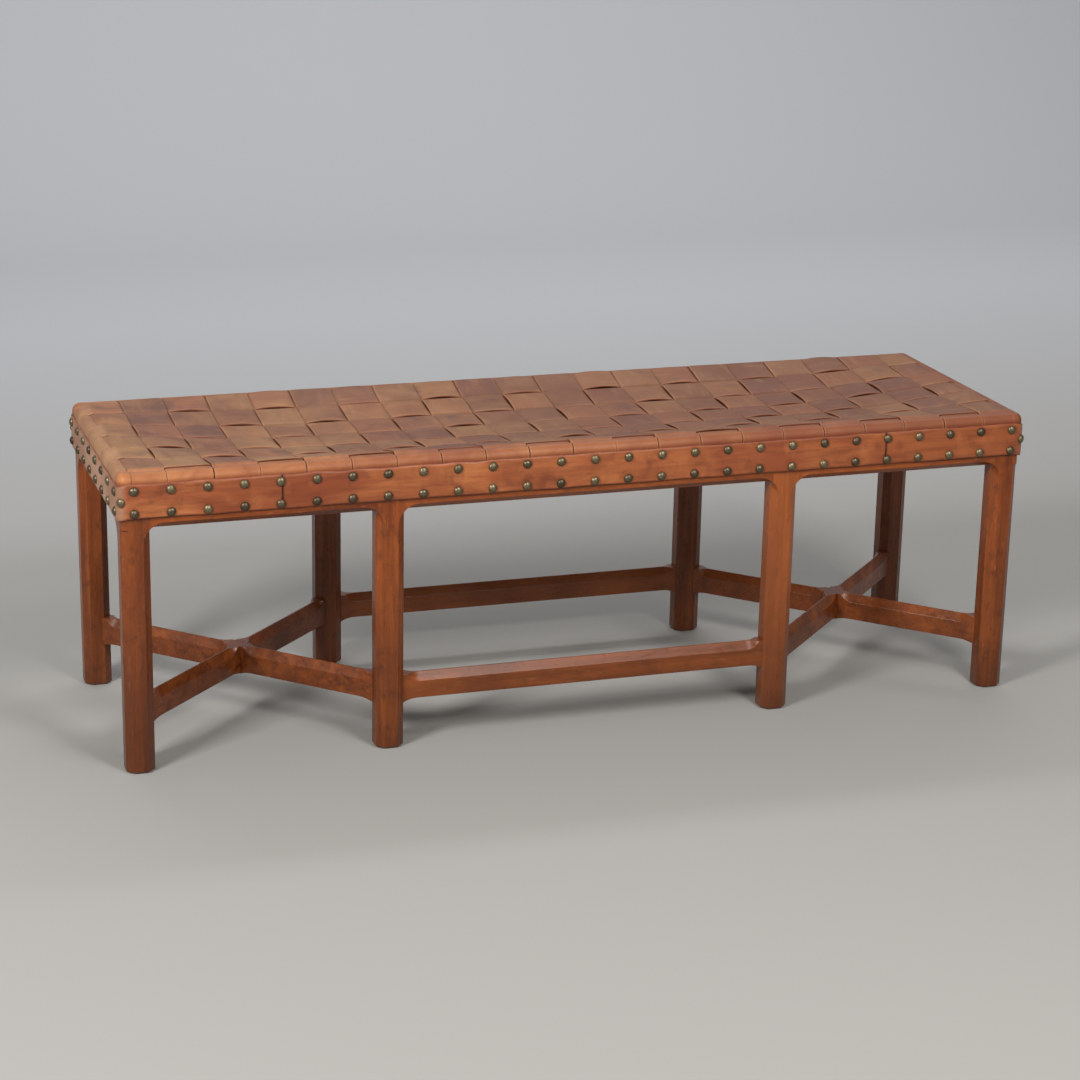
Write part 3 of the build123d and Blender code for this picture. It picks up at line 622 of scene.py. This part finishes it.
# %% Band
STANDOFF = 0.0021
BACK_INSET, RIM_OUT, RIM_INSET, RIM_POINTS = 0.012, 0.45, 0.02, 19
LOW_WAVE, TOP_WAVE = (0.12, 0.0006), (0.10, 0.0007)
BULGE, BULGE_POWER, DIMPLE, DIMPLE_RADIUS, SEAM_REACH = 0.0008, 0.5, 0.0012, 0.0085, 0.0028
all_nails = np.vstack([places for places, _ in nail_sides.values()])


def make_band(name, plan, out, drop):
    """One length of band: a closed loop of heights carried along a path in plan.

    The face stands off by BULGE * sqrt(sin(pi * height share)), less DIMPLE * exp(-(distance to the
    nearest nail / DIMPLE_RADIUS)^2). Stored on the points: the cut edge, the nearness of a seam,
    exp(-(distance / SEAM_REACH)^2), the press of the nails, and the distance from the rim."""
    share = np.concatenate([[BACK_INSET, 0.0], np.linspace(RIM_INSET, 1 - RIM_INSET, RIM_POINTS),
                            [1.0, 1 - BACK_INSET]])
    outer = np.concatenate([[0.0, RIM_OUT], np.full(RIM_POINTS, 1.0), [RIM_OUT, 0.0]])
    face = outer == 1
    steps = np.arange(len(plan))
    low = BAND_TOP - BAND_HEIGHT - drop + slow_noise(steps * PATH_STEP, *LOW_WAVE)
    high = BAND_TOP - drop + slow_noise(steps * PATH_STEP, *TOP_WAVE)
    z = low[:, None] + (high - low)[:, None] * share[None, :]
    spread = np.ones_like(z)
    stand = STANDOFF + BAND_THICK * outer[None, :] * spread
    points = np.concatenate([plan[:, None, :] + out[:, None, :] * stand[:, :, None], z[:, :, None]], -1)
    gap = np.linalg.norm(points[:, :, None, :] - all_nails[None, None, :, :], axis=-1).min(-1)
    press = np.exp(-(gap / DIMPLE_RADIUS) ** 2)
    bulge = (BULGE * np.sin(math.pi * share) ** BULGE_POWER - DIMPLE * press) * face
    points[:, :, :2] += out[:, None, :] * bulge[:, :, None]
    seam = np.exp(-(np.minimum(steps, steps[::-1]) * PATH_STEP / SEAM_REACH) ** 2)
    piece = closed_strip(f"edge_{name}", points, False, {
        "edge": ~face[None, :] * spread, "seam": seam[:, None] * spread, "press": press,
        "rim": np.minimum(share, 1 - share)[None, :] * spread})
    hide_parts(name)
    return piece


band_pieces = [make_band("band_front", *side_plan(-1)), make_band("band_back", *side_plan(1)),
               make_band("band_left_end", *end_plan(-1)), make_band("band_right_end", *end_plan(1))]
print(len(band_pieces), "lengths of band")

# %% [markdown]
# ## Finishes
# Leather and wood could be photographed and wrapped round the pieces. Here each finish is a small network
# of nodes that is worked out from the place on the object, so it needs no picture and never repeats. A
# helper adds a node, sets its plain values and joins its inputs, which keeps the networks short.

# %% Material helper
class Finish:
    """A material with one Principled BSDF, and short calls to add and join nodes."""

    def __init__(self, name, roughness, specular=0.5, metallic=0.0):
        self.material = bpy.data.materials.new(name)
        self.material.use_nodes = True
        self.tree = self.material.node_tree
        self.shader = self.tree.nodes["Principled BSDF"]
        self.shader.inputs["Roughness"].default_value = roughness
        self.shader.inputs["Specular IOR Level"].default_value = specular
        self.shader.inputs["Metallic"].default_value = metallic

    def add(self, kind, inputs=None, **settings):
        """Add a node. An input is a plain value, or the output socket that it is joined to."""
        node = self.tree.nodes.new(kind)
        for key, value in settings.items():
            setattr(node, key, value)
        for key, value in (inputs or {}).items():
            self.join(node.inputs[key], value)
        return node

    def join(self, socket, value):
        """Join an output to a socket, or set its value."""
        if isinstance(value, bpy.types.NodeSocket):
            self.tree.links.new(value, socket)
        else:
            socket.default_value = value

    def place(self, scale=(1, 1, 1), turn=(0, 0, 0), shift=(0, 0, 0)):
        """Object coordinates: first turned, and then times scale, plus shift."""
        turned = self.add("ShaderNodeTexCoord").outputs["Object"]
        if any(turn):
            turned = self.add("ShaderNodeMapping", {"Vector": turned, "Rotation": turn}).outputs["Vector"]
        return self.add("ShaderNodeMapping", {"Vector": turned, "Scale": scale, "Location": shift}).outputs["Vector"]

    def split(self, vector):
        """A place's three numbers, under "X", "Y" and "Z"."""
        return self.add("ShaderNodeSeparateXYZ", {0: vector}).outputs

    def noise(self, vector, scale, detail=4.0, rough=0.55, warp=0.0):
        """Cloudy noise from 0 to 1, with scale clouds to a metre."""
        return self.add("ShaderNodeTexNoise", {"Vector": vector, "Scale": scale, "Detail": detail,
                                               "Roughness": rough, "Distortion": warp}).outputs["Fac"]

    def pores(self, vector, scale):
        """Distance to the nearest of many scattered points, scale of them to a metre."""
        return self.add("ShaderNodeTexVoronoi", {"Vector": vector, "Scale": scale}, feature="F1").outputs["Distance"]

    def band(self, value, low, high, out_low=0.0, out_high=1.0):
        """Map low to out_low and high to out_high, evenly between them and held at both ends."""
        return self.add("ShaderNodeMapRange", {"Value": value, "From Min": low, "From Max": high,
                                               "To Min": out_low, "To Max": out_high}).outputs["Result"]

    def maths(self, operation, a, b=0.0):
        """One sum on two values."""
        return self.add("ShaderNodeMath", {0: a, 1: b}, operation=operation).outputs[0]

    def mix(self, factor, a, b):
        """Mix two colours: (1 - factor) * a + factor * b."""
        node = self.add("ShaderNodeMix", data_type="RGBA")
        self.join(node.inputs["Factor"], factor)
        self.join(node.inputs[6], a)
        self.join(node.inputs[7], b)
        return node.outputs[2]

    def stored(self, name):
        """A number stored on the piece's points."""
        return self.add("ShaderNodeAttribute", attribute_name=name).outputs["Fac"]

    def bump(self, height, strength, distance, after=None):
        """Bump from a height, on top of another normal."""
        node = self.add("ShaderNodeBump", {"Height": height, "Strength": strength, "Distance": distance})
        if after is not None:
            self.join(node.inputs["Normal"], after)
        return node.outputs["Normal"]

    def output(self, **sockets):
        """Join values to the shader's sockets, with underscores for spaces."""
        for key, value in sockets.items():
            self.join(self.shader.inputs[key.replace("_", " ")], value)
        return self.material


def tint(red, green, blue):
    """A colour given as it looks on a screen, from 0 to 255, turned into linear light.

    Up to 0.04045 the share of white is divided by 12.92, and above it ((share + 0.055) / 1.055)^2.4."""
    share = np.array([red, green, blue]) / 255
    linear = np.where(share <= 0.04045, share / 12.92, ((share + 0.055) / 1.055) ** 2.4)
    return (*linear.tolist(), 1.0)


print("materials can be written")

# %% [markdown]
# ## Strap leather
# Vegetable-tanned straps go from yellowish tan to reddish brown, and each cell has aged on its own.
# Where the leather turns over the rail it is a lighter orange, and over the ends it is paler and greyer,
# a painted sheen. Just above the band it is a painted shade of dark red, and where a strap dives under
# its neighbour it is darkened as painted shade. Its sides are paler, a painted highlight along with wear.
# The face has faint streaks, a few stains, scuffs, fine pores and soft creases, and the cut edge is
# dark. The seat is browner towards the right. One flat colour would look like plastic, so the colours
# are mixed one over another, from the widest patches to the finest marks.

# %% Strap leather finish
TAN, RED_TAN, BROWN, RED_BROWN = tint(166, 124, 79), tint(152, 97, 63), tint(120, 84, 60), tint(100, 64, 54)
SHADED, STREAK, STAIN, SCUFF = tint(104, 61, 41), tint(108, 72, 56), tint(90, 60, 52), tint(170, 132, 94)
# Painted shade: the roll is darker towards the right, and dark red just above the band's top edge.
SHADED_ROLL, BAND_EDGE_SHADE = tint(117, 59, 37), tint(96, 36, 24)
# Painted shade where a strap dives under its neighbour, a paler side that is painted highlight along with wear, and
# the dark cut edge.
UNDER_SHADE, SIDE_HIGHLIGHT_AND_WEAR, CUT_EDGE = tint(62, 38, 28), tint(176, 134, 98), tint(104, 56, 36)
CROSS_ROLL = (tint(178, 114, 68), tint(142, 80, 48))
# The long straps' roll over the ends is paler and greyer: a painted sheen.
LONG_ROLL_SHEEN = (tint(166, 126, 92), tint(140, 98, 70))
GRAIN_STRETCH = 0.16
# Tops of the roll's painted shade above the band, for the front and back rolls and for the end rolls, and its fade.
CROSS_SHADE_TOP, LONG_SHADE_TOP, SHADE_FADE = 0.4405, 0.4340, 0.006


def strap_leather(name, stretch, roll_colours, shade_top):
    """Tan leather. stretch lengthens the streaks along the strap, and low on the roll it gets a painted shade.

    The cell's tone and a cloud choose between light and dark, and its hue between yellow and red. Then
    the shade to the right, streaks, stains, scuffs, the roll with painted sheen over the ends and painted
    shade above the band, the painted shade of the dive under, the painted highlight and wear of the sides
    and the cut edge are mixed in, in that order."""
    f = Finish(name, 0.46, 0.3)
    here = f.place()
    split = f.split(here)
    x = split["X"]
    cloud = f.noise(here, 12.0, 5.0, 0.6, 0.8)
    streak = f.noise(f.place(scale=stretch), 36.0, 5.0, 0.62, 0.3)
    variety = f.band(x, -0.7, 0.1, 0.14, 0.32)
    shade = f.maths("ADD", f.maths("MULTIPLY", f.stored("tone"), variety), cloud)
    red = f.maths("ADD", f.maths("MULTIPLY", f.stored("hue"), variety), f.noise(here, 6.5, 3.0))
    light = f.mix(f.band(red, 0.3, 0.7), TAN, RED_TAN)
    dark = f.mix(f.band(red, 0.3, 0.7), BROWN, RED_BROWN)
    face = f.mix(f.band(shade, 0.26, 0.74), light, dark)
    face = f.mix(f.band(x, -0.65, 0.1, 0.12, 0.68), face, SHADED)
    face = f.mix(f.band(streak, 0.45, 0.72, 0.0, 0.45), face, STREAK)
    face = f.mix(f.band(f.noise(here, 19.0, 4.0, 0.6, 0.5), 0.58, 0.74, 0.0, 0.7), face, STAIN)
    face = f.mix(f.band(f.noise(f.place(scale=stretch), 90.0, 3.0), 0.55, 0.75, 0.0, 0.2), face, SCUFF)
    # The roll colours; for the long straps they hold a painted sheen.
    rolled = f.mix(f.band(cloud, 0.35, 0.65), *roll_colours)
    rolled = f.mix(f.band(x, -0.6, 0.55, 0.0, 0.9), rolled, SHADED_ROLL)
    # Painted shade, dark red, just above the band's top edge.
    rolled = f.mix(f.band(split["Z"], shade_top - SHADE_FADE, shade_top, 0.75, 0.0), rolled, BAND_EDGE_SHADE)
    face = f.mix(f.maths("MULTIPLY", f.stored("roll"), 0.9), face, rolled)
    # Painted shade where the strap has dived under its neighbour.
    face = f.mix(f.maths("MULTIPLY", f.stored("under"), 0.75), face, UNDER_SHADE)
    # Paler near the sides: painted highlight where the edges catch the light, along with wear.
    face = f.mix(f.band(f.maths("ABSOLUTE", f.stored("side")), 0.90, 0.98, 0.0, 0.2), face, SIDE_HIGHLIGHT_AND_WEAR)
    face = f.mix(f.stored("edge"), face, CUT_EDGE)
    normal = f.bump(f.pores(here, 950.0), 0.10, 0.0002)
    normal = f.bump(f.noise(f.place(scale=stretch), 120.0, 4.0, 0.6, 1.2), 0.20, 0.0006, normal)
    normal = f.bump(f.noise(here, 55.0, 3.0), 0.30, 0.0014, normal)
    return f.output(Base_Color=face, Normal=normal, Roughness=f.band(cloud, 0.3, 0.7, 0.46, 0.60))


cross_leather = strap_leather("cross_strap_leather", (1.0, GRAIN_STRETCH, 1.0), CROSS_ROLL, CROSS_SHADE_TOP)
long_leather = strap_leather("long_strap_leather", (GRAIN_STRETCH, 1.0, 1.0), LONG_ROLL_SHEEN, LONG_SHADE_TOP)
for piece in leather_pieces:
    piece.data.materials.append(long_leather if piece.name.startswith("long") else cross_leather)
print("strap leather on", len(leather_pieces), "pieces")

# %% [markdown]
# ## Band leather
# The band is a cognac leather with a soft sheen. It has redder clouds, long dark streaks and paler
# spots. It is redder beside the left seam and towards the right. Across the ends it is pale and
# greyish, a painted sheen that is stronger on the left end. Its rim and the rings that the nails press
# are darker, the cut edge is pale in places, partly pale leather and partly a painted highlight, and the
# seams are nearly black. Each of these follows the place along the bench or a number stored on the
# points, so one finish serves all four lengths.

# %% Band leather finish
COGNAC, RED_COGNAC, SEAM_RED = tint(178, 108, 62), tint(138, 72, 40), tint(122, 56, 30)
SHADED_COGNAC, DARK_MARK, PALE_SPOT = tint(130, 64, 34), tint(92, 42, 24), tint(176, 106, 60)
# Painted sheen: pale greyish colours for the band across the ends.
END_SHEEN_LIGHT, END_SHEEN_DARK = tint(172, 134, 106), tint(142, 104, 82)
PRESSED, RIM, SEAM_DARK = tint(88, 46, 28), tint(96, 40, 28), tint(52, 18, 12)
# The cut edge: pale leather that is partly a painted highlight, and darker leather.
PALE_EDGE_AND_HIGHLIGHT, DARK_CUT_EDGE = tint(168, 106, 76), tint(104, 46, 30)


def band_leather():
    """Cognac leather. The clouds choose between two browns.

    Then the redness beside the seam, the shade to the right, streaks, spots, the painted sheen across
    the ends, the nails' rings, the rim, the cut edge with its painted highlight and the seams are mixed
    in, in that order."""
    f = Finish("band_leather", 0.42, 0.38)
    here = f.place()
    x = f.split(here)["X"]
    cloud = f.noise(f.place(scale=(0.45, 0.45, 1.0)), 15.0, 5.0, 0.6, 0.8)
    streak = f.noise(f.place(scale=(0.08, 0.08, 1.0)), 110.0, 5.0, 0.65)
    face = f.mix(f.band(cloud, 0.40, 0.60), COGNAC, RED_COGNAC)
    beside_seam = f.maths("MULTIPLY", f.band(x, -0.62, -0.54), f.band(x, -0.42, -0.2, 0.7, 0.0))
    face = f.mix(beside_seam, face, SEAM_RED)
    face = f.mix(f.band(x, -0.4, 0.6, 0.0, 0.75), face, SHADED_COGNAC)
    face = f.mix(f.band(streak, 0.42, 0.68, 0.0, 0.5), face, DARK_MARK)
    face = f.mix(f.band(f.noise(here, 24.0, 3.0), 0.56, 0.74, 0.0, 0.45), face, PALE_SPOT)
    face = f.mix(f.band(f.noise(here, 34.0, 4.0), 0.56, 0.72, 0.0, 0.5), face, DARK_MARK)
    # Painted sheen across the ends, stronger on the left end than the right.
    on_end = f.band(f.maths("ABSOLUTE", x), HALF_LENGTH - CORNER_RADIUS, HALF_LENGTH)
    across_end = f.maths("MULTIPLY", on_end, f.band(x, -0.7, 0.7, 0.75, 0.4))
    face = f.mix(across_end, face, f.mix(f.band(cloud, 0.3, 0.7), END_SHEEN_LIGHT, END_SHEEN_DARK))
    face = f.mix(f.band(f.stored("press"), 0.25, 0.9, 0.0, 0.45), face, PRESSED)
    face = f.mix(f.band(f.stored("rim"), 0.0, 0.045, 0.7, 0.0), face, RIM)
    # Cut edge, partly pale leather and partly a painted highlight where it catches the light.
    edge_and_highlight = f.mix(f.band(f.noise(here, 16.0, 3.0), 0.4, 0.6), PALE_EDGE_AND_HIGHLIGHT, DARK_CUT_EDGE)
    face = f.mix(f.stored("edge"), face, edge_and_highlight)
    face = f.mix(f.band(f.stored("seam"), 0.3, 1.0, 0.0, 0.85), face, SEAM_DARK)
    normal = f.bump(f.pores(here, 900.0), 0.12, 0.0002)
    normal = f.bump(streak, 0.18, 0.0006, normal)
    normal = f.bump(f.noise(here, 70.0, 3.0), 0.28, 0.0011, normal)
    return f.output(Base_Color=face, Normal=normal, Roughness=f.band(cloud, 0.3, 0.7, 0.38, 0.52))


cognac_leather = band_leather()
for piece in band_pieces:
    piece.data.materials.append(cognac_leather)
print("band leather on", len(band_pieces), "pieces")

# %% [markdown]
# ## Aged brass
# The nail heads have dulled to a dark olive brown, with darker spots, and each has its own shade. A
# metal shows mostly what it mirrors, so the finish is metallic and fairly rough, and one number stored
# on each head picks its shade.

# %% Brass finish
DULL_BRASS, BRIGHT_BRASS, BRASS_SPOT = tint(84, 74, 60), tint(140, 128, 98), tint(66, 54, 44)


def aged_brass():
    """Dull brass: the nail's tone chooses between two shades, and small spots are mixed in."""
    f = Finish("aged_brass", 0.34, 0.5, 0.8)
    here = f.place()
    spots = f.noise(here, 420.0, 4.0, 0.6)
    face = f.mix(f.stored("tone"), DULL_BRASS, BRIGHT_BRASS)
    face = f.mix(f.band(spots, 0.42, 0.66, 0.0, 0.75), face, BRASS_SPOT)
    normal = f.bump(f.noise(here, 700.0, 2.0), 0.3, 0.0003)
    return f.output(Base_Color=face, Normal=normal, Roughness=f.band(spots, 0.35, 0.65, 0.36, 0.52))


brass = aged_brass()
for piece in nail_pieces:
    piece.data.materials.append(brass)
print("brass on", len(nail_pieces), "pieces")

# %% [markdown]
# ## Stained oak
# Oak shows long pores along the grain and short pale flecks across it. The stain is a satin reddish
# brown, darker towards the floor. One pattern over the whole frame would run across some pieces,
# so each piece has its own board: the pattern is turned to the piece's direction and shifted, and its
# tone differs a little. A Bevel node softens the sharp edges of the imported meshes.

# %% Oak finish
HEARTWOOD, DARK_HEARTWOOD, RED_CLOUD = tint(148, 75, 27), tint(94, 43, 14), tint(118, 52, 18)
MOTTLE, FLECK, PORE, LOW_DARK = tint(64, 33, 20), tint(188, 120, 72), tint(54, 27, 15), tint(54, 29, 15)
PALE_BOARD, DARK_BOARD = tint(164, 92, 48), tint(84, 42, 20)
TONE_STRENGTH, MOST_TONE, LOW_DARK_HEIGHT, SOFT_EDGE = 0.2, 2.0, 0.30, 0.0011


def oak(name, turn, shift, tone):
    """Stained oak with its grain along the Z axis of the turned pattern.

    The figure chooses between two browns. Then red clouds, mottle, flecks, pores, the board's own tone
    and a darkening towards the floor are mixed in, in that order."""
    f = Finish(name, 0.30, 0.38)
    along = f.place(scale=(1.0, 1.0, 0.055), turn=turn, shift=shift)
    short = f.place(scale=(1.0, 1.0, 0.20), turn=turn, shift=shift)
    here = f.place()
    figure = f.noise(along, 60.0, 5.0, 0.6, 0.8)
    pores = f.noise(along, 620.0, 3.0, 0.7)
    flecks = f.noise(short, 260.0, 4.0, 0.65, 0.3)
    cloud = f.noise(here, 9.0, 4.0, 0.6)
    mottle = f.noise(here, 45.0, 4.0, 0.65)
    face = f.mix(f.band(figure, 0.36, 0.66), HEARTWOOD, DARK_HEARTWOOD)
    face = f.mix(f.band(cloud, 0.38, 0.66, 0.0, 0.55), face, RED_CLOUD)
    face = f.mix(f.band(mottle, 0.54, 0.72, 0.0, 0.6), face, MOTTLE)
    face = f.mix(f.band(flecks, 0.60, 0.74, 0.0, 0.45), face, FLECK)
    face = f.mix(f.band(pores, 0.56, 0.70, 0.0, 0.6), face, PORE)
    face = f.mix(TONE_STRENGTH * min(abs(tone), MOST_TONE), face, PALE_BOARD if tone > 0 else DARK_BOARD)
    # Darker towards the floor.
    low_down = f.band(f.split(here)["Z"], 0.0, LOW_DARK_HEIGHT, 1.0, 0.0)
    face = f.mix(f.maths("MULTIPLY", low_down, f.band(cloud, 0.3, 0.7, 0.40, 0.8)), face, LOW_DARK)
    rounded = f.add("ShaderNodeBevel", {"Radius": SOFT_EDGE}, samples=6).outputs["Normal"]
    normal = f.bump(pores, 0.22, 0.0002, rounded)
    normal = f.bump(f.noise(along, 90.0, 3.0), 0.15, 0.0007, normal)
    normal = f.bump(mottle, 0.15, 0.0010, normal)
    return f.output(Base_Color=face, Normal=normal, Roughness=f.band(flecks, 0.35, 0.65, 0.26, 0.40))


def grain_turn(name):
    """Turn that lays the pattern's Z axis along a wooden piece. An arm is first turned to lie along Y."""
    if name.startswith("leg"):
        return (0, 0, 0)
    if name in ("arm_left_from_front", "arm_right_from_back"):
        return (math.pi / 2, 0, math.pi / 4)
    if name in ("arm_left_from_back", "arm_right_from_front"):
        return (math.pi / 2, 0, -math.pi / 4)
    if name.startswith("cross_rail") or name.endswith("_end"):
        return (math.pi / 2, 0, 0)
    return (0, math.pi / 2, 0)


print("oak can be made")

# %% Oak on the frame
BOARD_TONE = {"leg_front_left": -1.8, "leg_front_mid_left": -0.5, "leg_front_mid_right": 2.0,
              "leg_front_right": -0.4, "stretcher_back": 2.0, "stretcher_front": 1.0}
MOST_SHIFT, OTHER_TONE = 3, 0.7
wood_rng = np.random.default_rng(3)
wooden = [name for name in sorted(nodes) if name.startswith(("leg", "rail", "cross_rail", "arm", "stretcher"))]
for name in wooden:
    shift = tuple(wood_rng.uniform(-MOST_SHIFT, MOST_SHIFT, 3).tolist())
    other_tone = wood_rng.uniform(-OTHER_TONE, OTHER_TONE)
    finish = oak(f"oak_{name}", grain_turn(name), shift, BOARD_TONE.get(name, other_tone))
    slots = nodes[name].data.materials
    if slots:
        slots[0] = finish
    else:
        slots.append(finish)
print("oak on", len(wooden), "pieces")

# %% [markdown]
# ## Flat sizes
# Straps and bands are sheets of leather, cut flat and then stretched over the wood. A strap's length
# is that of its path over the modelled seat, and a band's is the distance between its seams.

print("straps and bands are leather sheets")

# %% [markdown]
# ## Studio
# The photograph has a plain grey paper sweep: a floor that curves up into the backdrop without an edge.
# It is a profile drawn out sideways, far wider than the view. The paper is a little lighter and cooler
# far behind the bench.

# %% Sweep
SWEEP_RADIUS, SWEEP_FAR, SWEEP_NEAR, SWEEP_SIDE, SWEEP_HEIGHT, SWEEP_POINTS = 1.6, 3.4, -7.0, 9.0, 5.0, 25
NEAR_PAPER, FAR_PAPER, PAPER_FADE = tint(154, 153, 150), tint(169, 171, 174), (0.6, 2.6)


def make_sweep():
    """Floor, quarter circle and wall: a profile in the Y-Z plane drawn out along X.

    The quarter circle is (far + radius * sin t, radius - radius * cos t)."""
    turn = np.linspace(0, math.pi / 2, SWEEP_POINTS)
    y = np.concatenate([[SWEEP_NEAR, 0.0], SWEEP_FAR + SWEEP_RADIUS * np.sin(turn), [SWEEP_FAR + SWEEP_RADIUS]])
    z = np.concatenate([[0, 0], SWEEP_RADIUS - SWEEP_RADIUS * np.cos(turn), [SWEEP_HEIGHT]])
    points = np.stack([np.stack([np.full_like(y, x), y, z], -1) for x in (-SWEEP_SIDE, SWEEP_SIDE)], 1)
    floor = make_piece("sweep", points.reshape(-1, 3), grid_faces(len(y), 2, False)[:, ::-1])
    f = Finish("paper", 0.9, 0.1)
    paper = f.mix(f.band(f.split(f.place())["Y"], *PAPER_FADE), NEAR_PAPER, FAR_PAPER)
    floor.data.materials.append(f.output(Base_Color=paper))


make_sweep()
print("sweep ready")

# %% [markdown]
# ## Light
# On the photograph's floor the legs throw soft shadows in two directions. So there are two main lamps, one
# to the left and one in front, both wide enough to keep the shadows soft. A small lamp overhead adds a
# little light from above, and a wide one lights the backdrop. An even world would fill every shadow
# alike, so this one is brighter on the left.

# %% World
WORLD_COLOUR = (1.0, 0.985, 0.96, 1.0)
WORLD_LEFT, WORLD_RIGHT = 0.50, 0.23


def make_world():
    """A pale world whose strength goes evenly from WORLD_LEFT to WORLD_RIGHT with the X direction."""
    world = bpy.data.worlds.new("studio")
    world.use_nodes = True
    tree = world.node_tree
    background = tree.nodes["Background"]
    background.inputs["Color"].default_value = WORLD_COLOUR
    direction = tree.nodes.new("ShaderNodeSeparateXYZ")
    tree.links.new(tree.nodes.new("ShaderNodeTexCoord").outputs["Generated"], direction.inputs[0])
    fall = tree.nodes.new("ShaderNodeMapRange")
    for key, value in (("From Min", -1.0), ("From Max", 1.0), ("To Min", WORLD_LEFT), ("To Max", WORLD_RIGHT)):
        fall.inputs[key].default_value = value
    tree.links.new(direction.outputs["X"], fall.inputs["Value"])
    tree.links.new(fall.outputs["Result"], background.inputs["Strength"])
    bpy.context.scene.world = world


make_world()
bpy.context.scene.view_settings.view_transform = "Standard"
print("world ready")


# %% Lamps
UNDER_SEAT, FOOT_OF_WALL = (0.0, 0.0, 0.2), (1.0, 3.8, 0.0)
WARM_WHITE, SOFT_WHITE, COOL_WHITE = (1.0, 0.97, 0.93), (1.0, 0.98, 0.96), (0.98, 0.98, 1.0)


def add_lamp(name, place, target, size, power, colour):
    """A rectangular lamp at a place, aimed at a target: its Z axis points from the target to it."""
    lamp = bpy.data.objects.new(name, bpy.data.lights.new(name, "AREA"))
    lamp.data.shape = "RECTANGLE"
    lamp.data.size, lamp.data.size_y = size
    lamp.data.energy = power
    lamp.data.color = colour
    away = np.subtract(place, target)
    away /= np.linalg.norm(away)
    across = np.cross([0.0, 0.0, 1.0], away)
    across /= np.linalg.norm(across)
    lamp.matrix_world = aimed(across, np.cross(away, across), away, place)
    bpy.context.scene.collection.objects.link(lamp)


add_lamp("front", (0.55, -2.6, 2.2), UNDER_SEAT, (0.7, 0.6), 54, WARM_WHITE)
add_lamp("left", (-2.7, -1.82, 2.2), UNDER_SEAT, (0.7, 0.7), 98, SOFT_WHITE)
add_lamp("overhead", (0.5, -1.5, 2.5), UNDER_SEAT, (0.42, 0.36), 8, SOFT_WHITE)
add_lamp("backdrop", (1.0, 2.4, 3.6), FOOT_OF_WALL, (6.0, 1.0), 125, COOL_WHITE)
print("lamps ready")
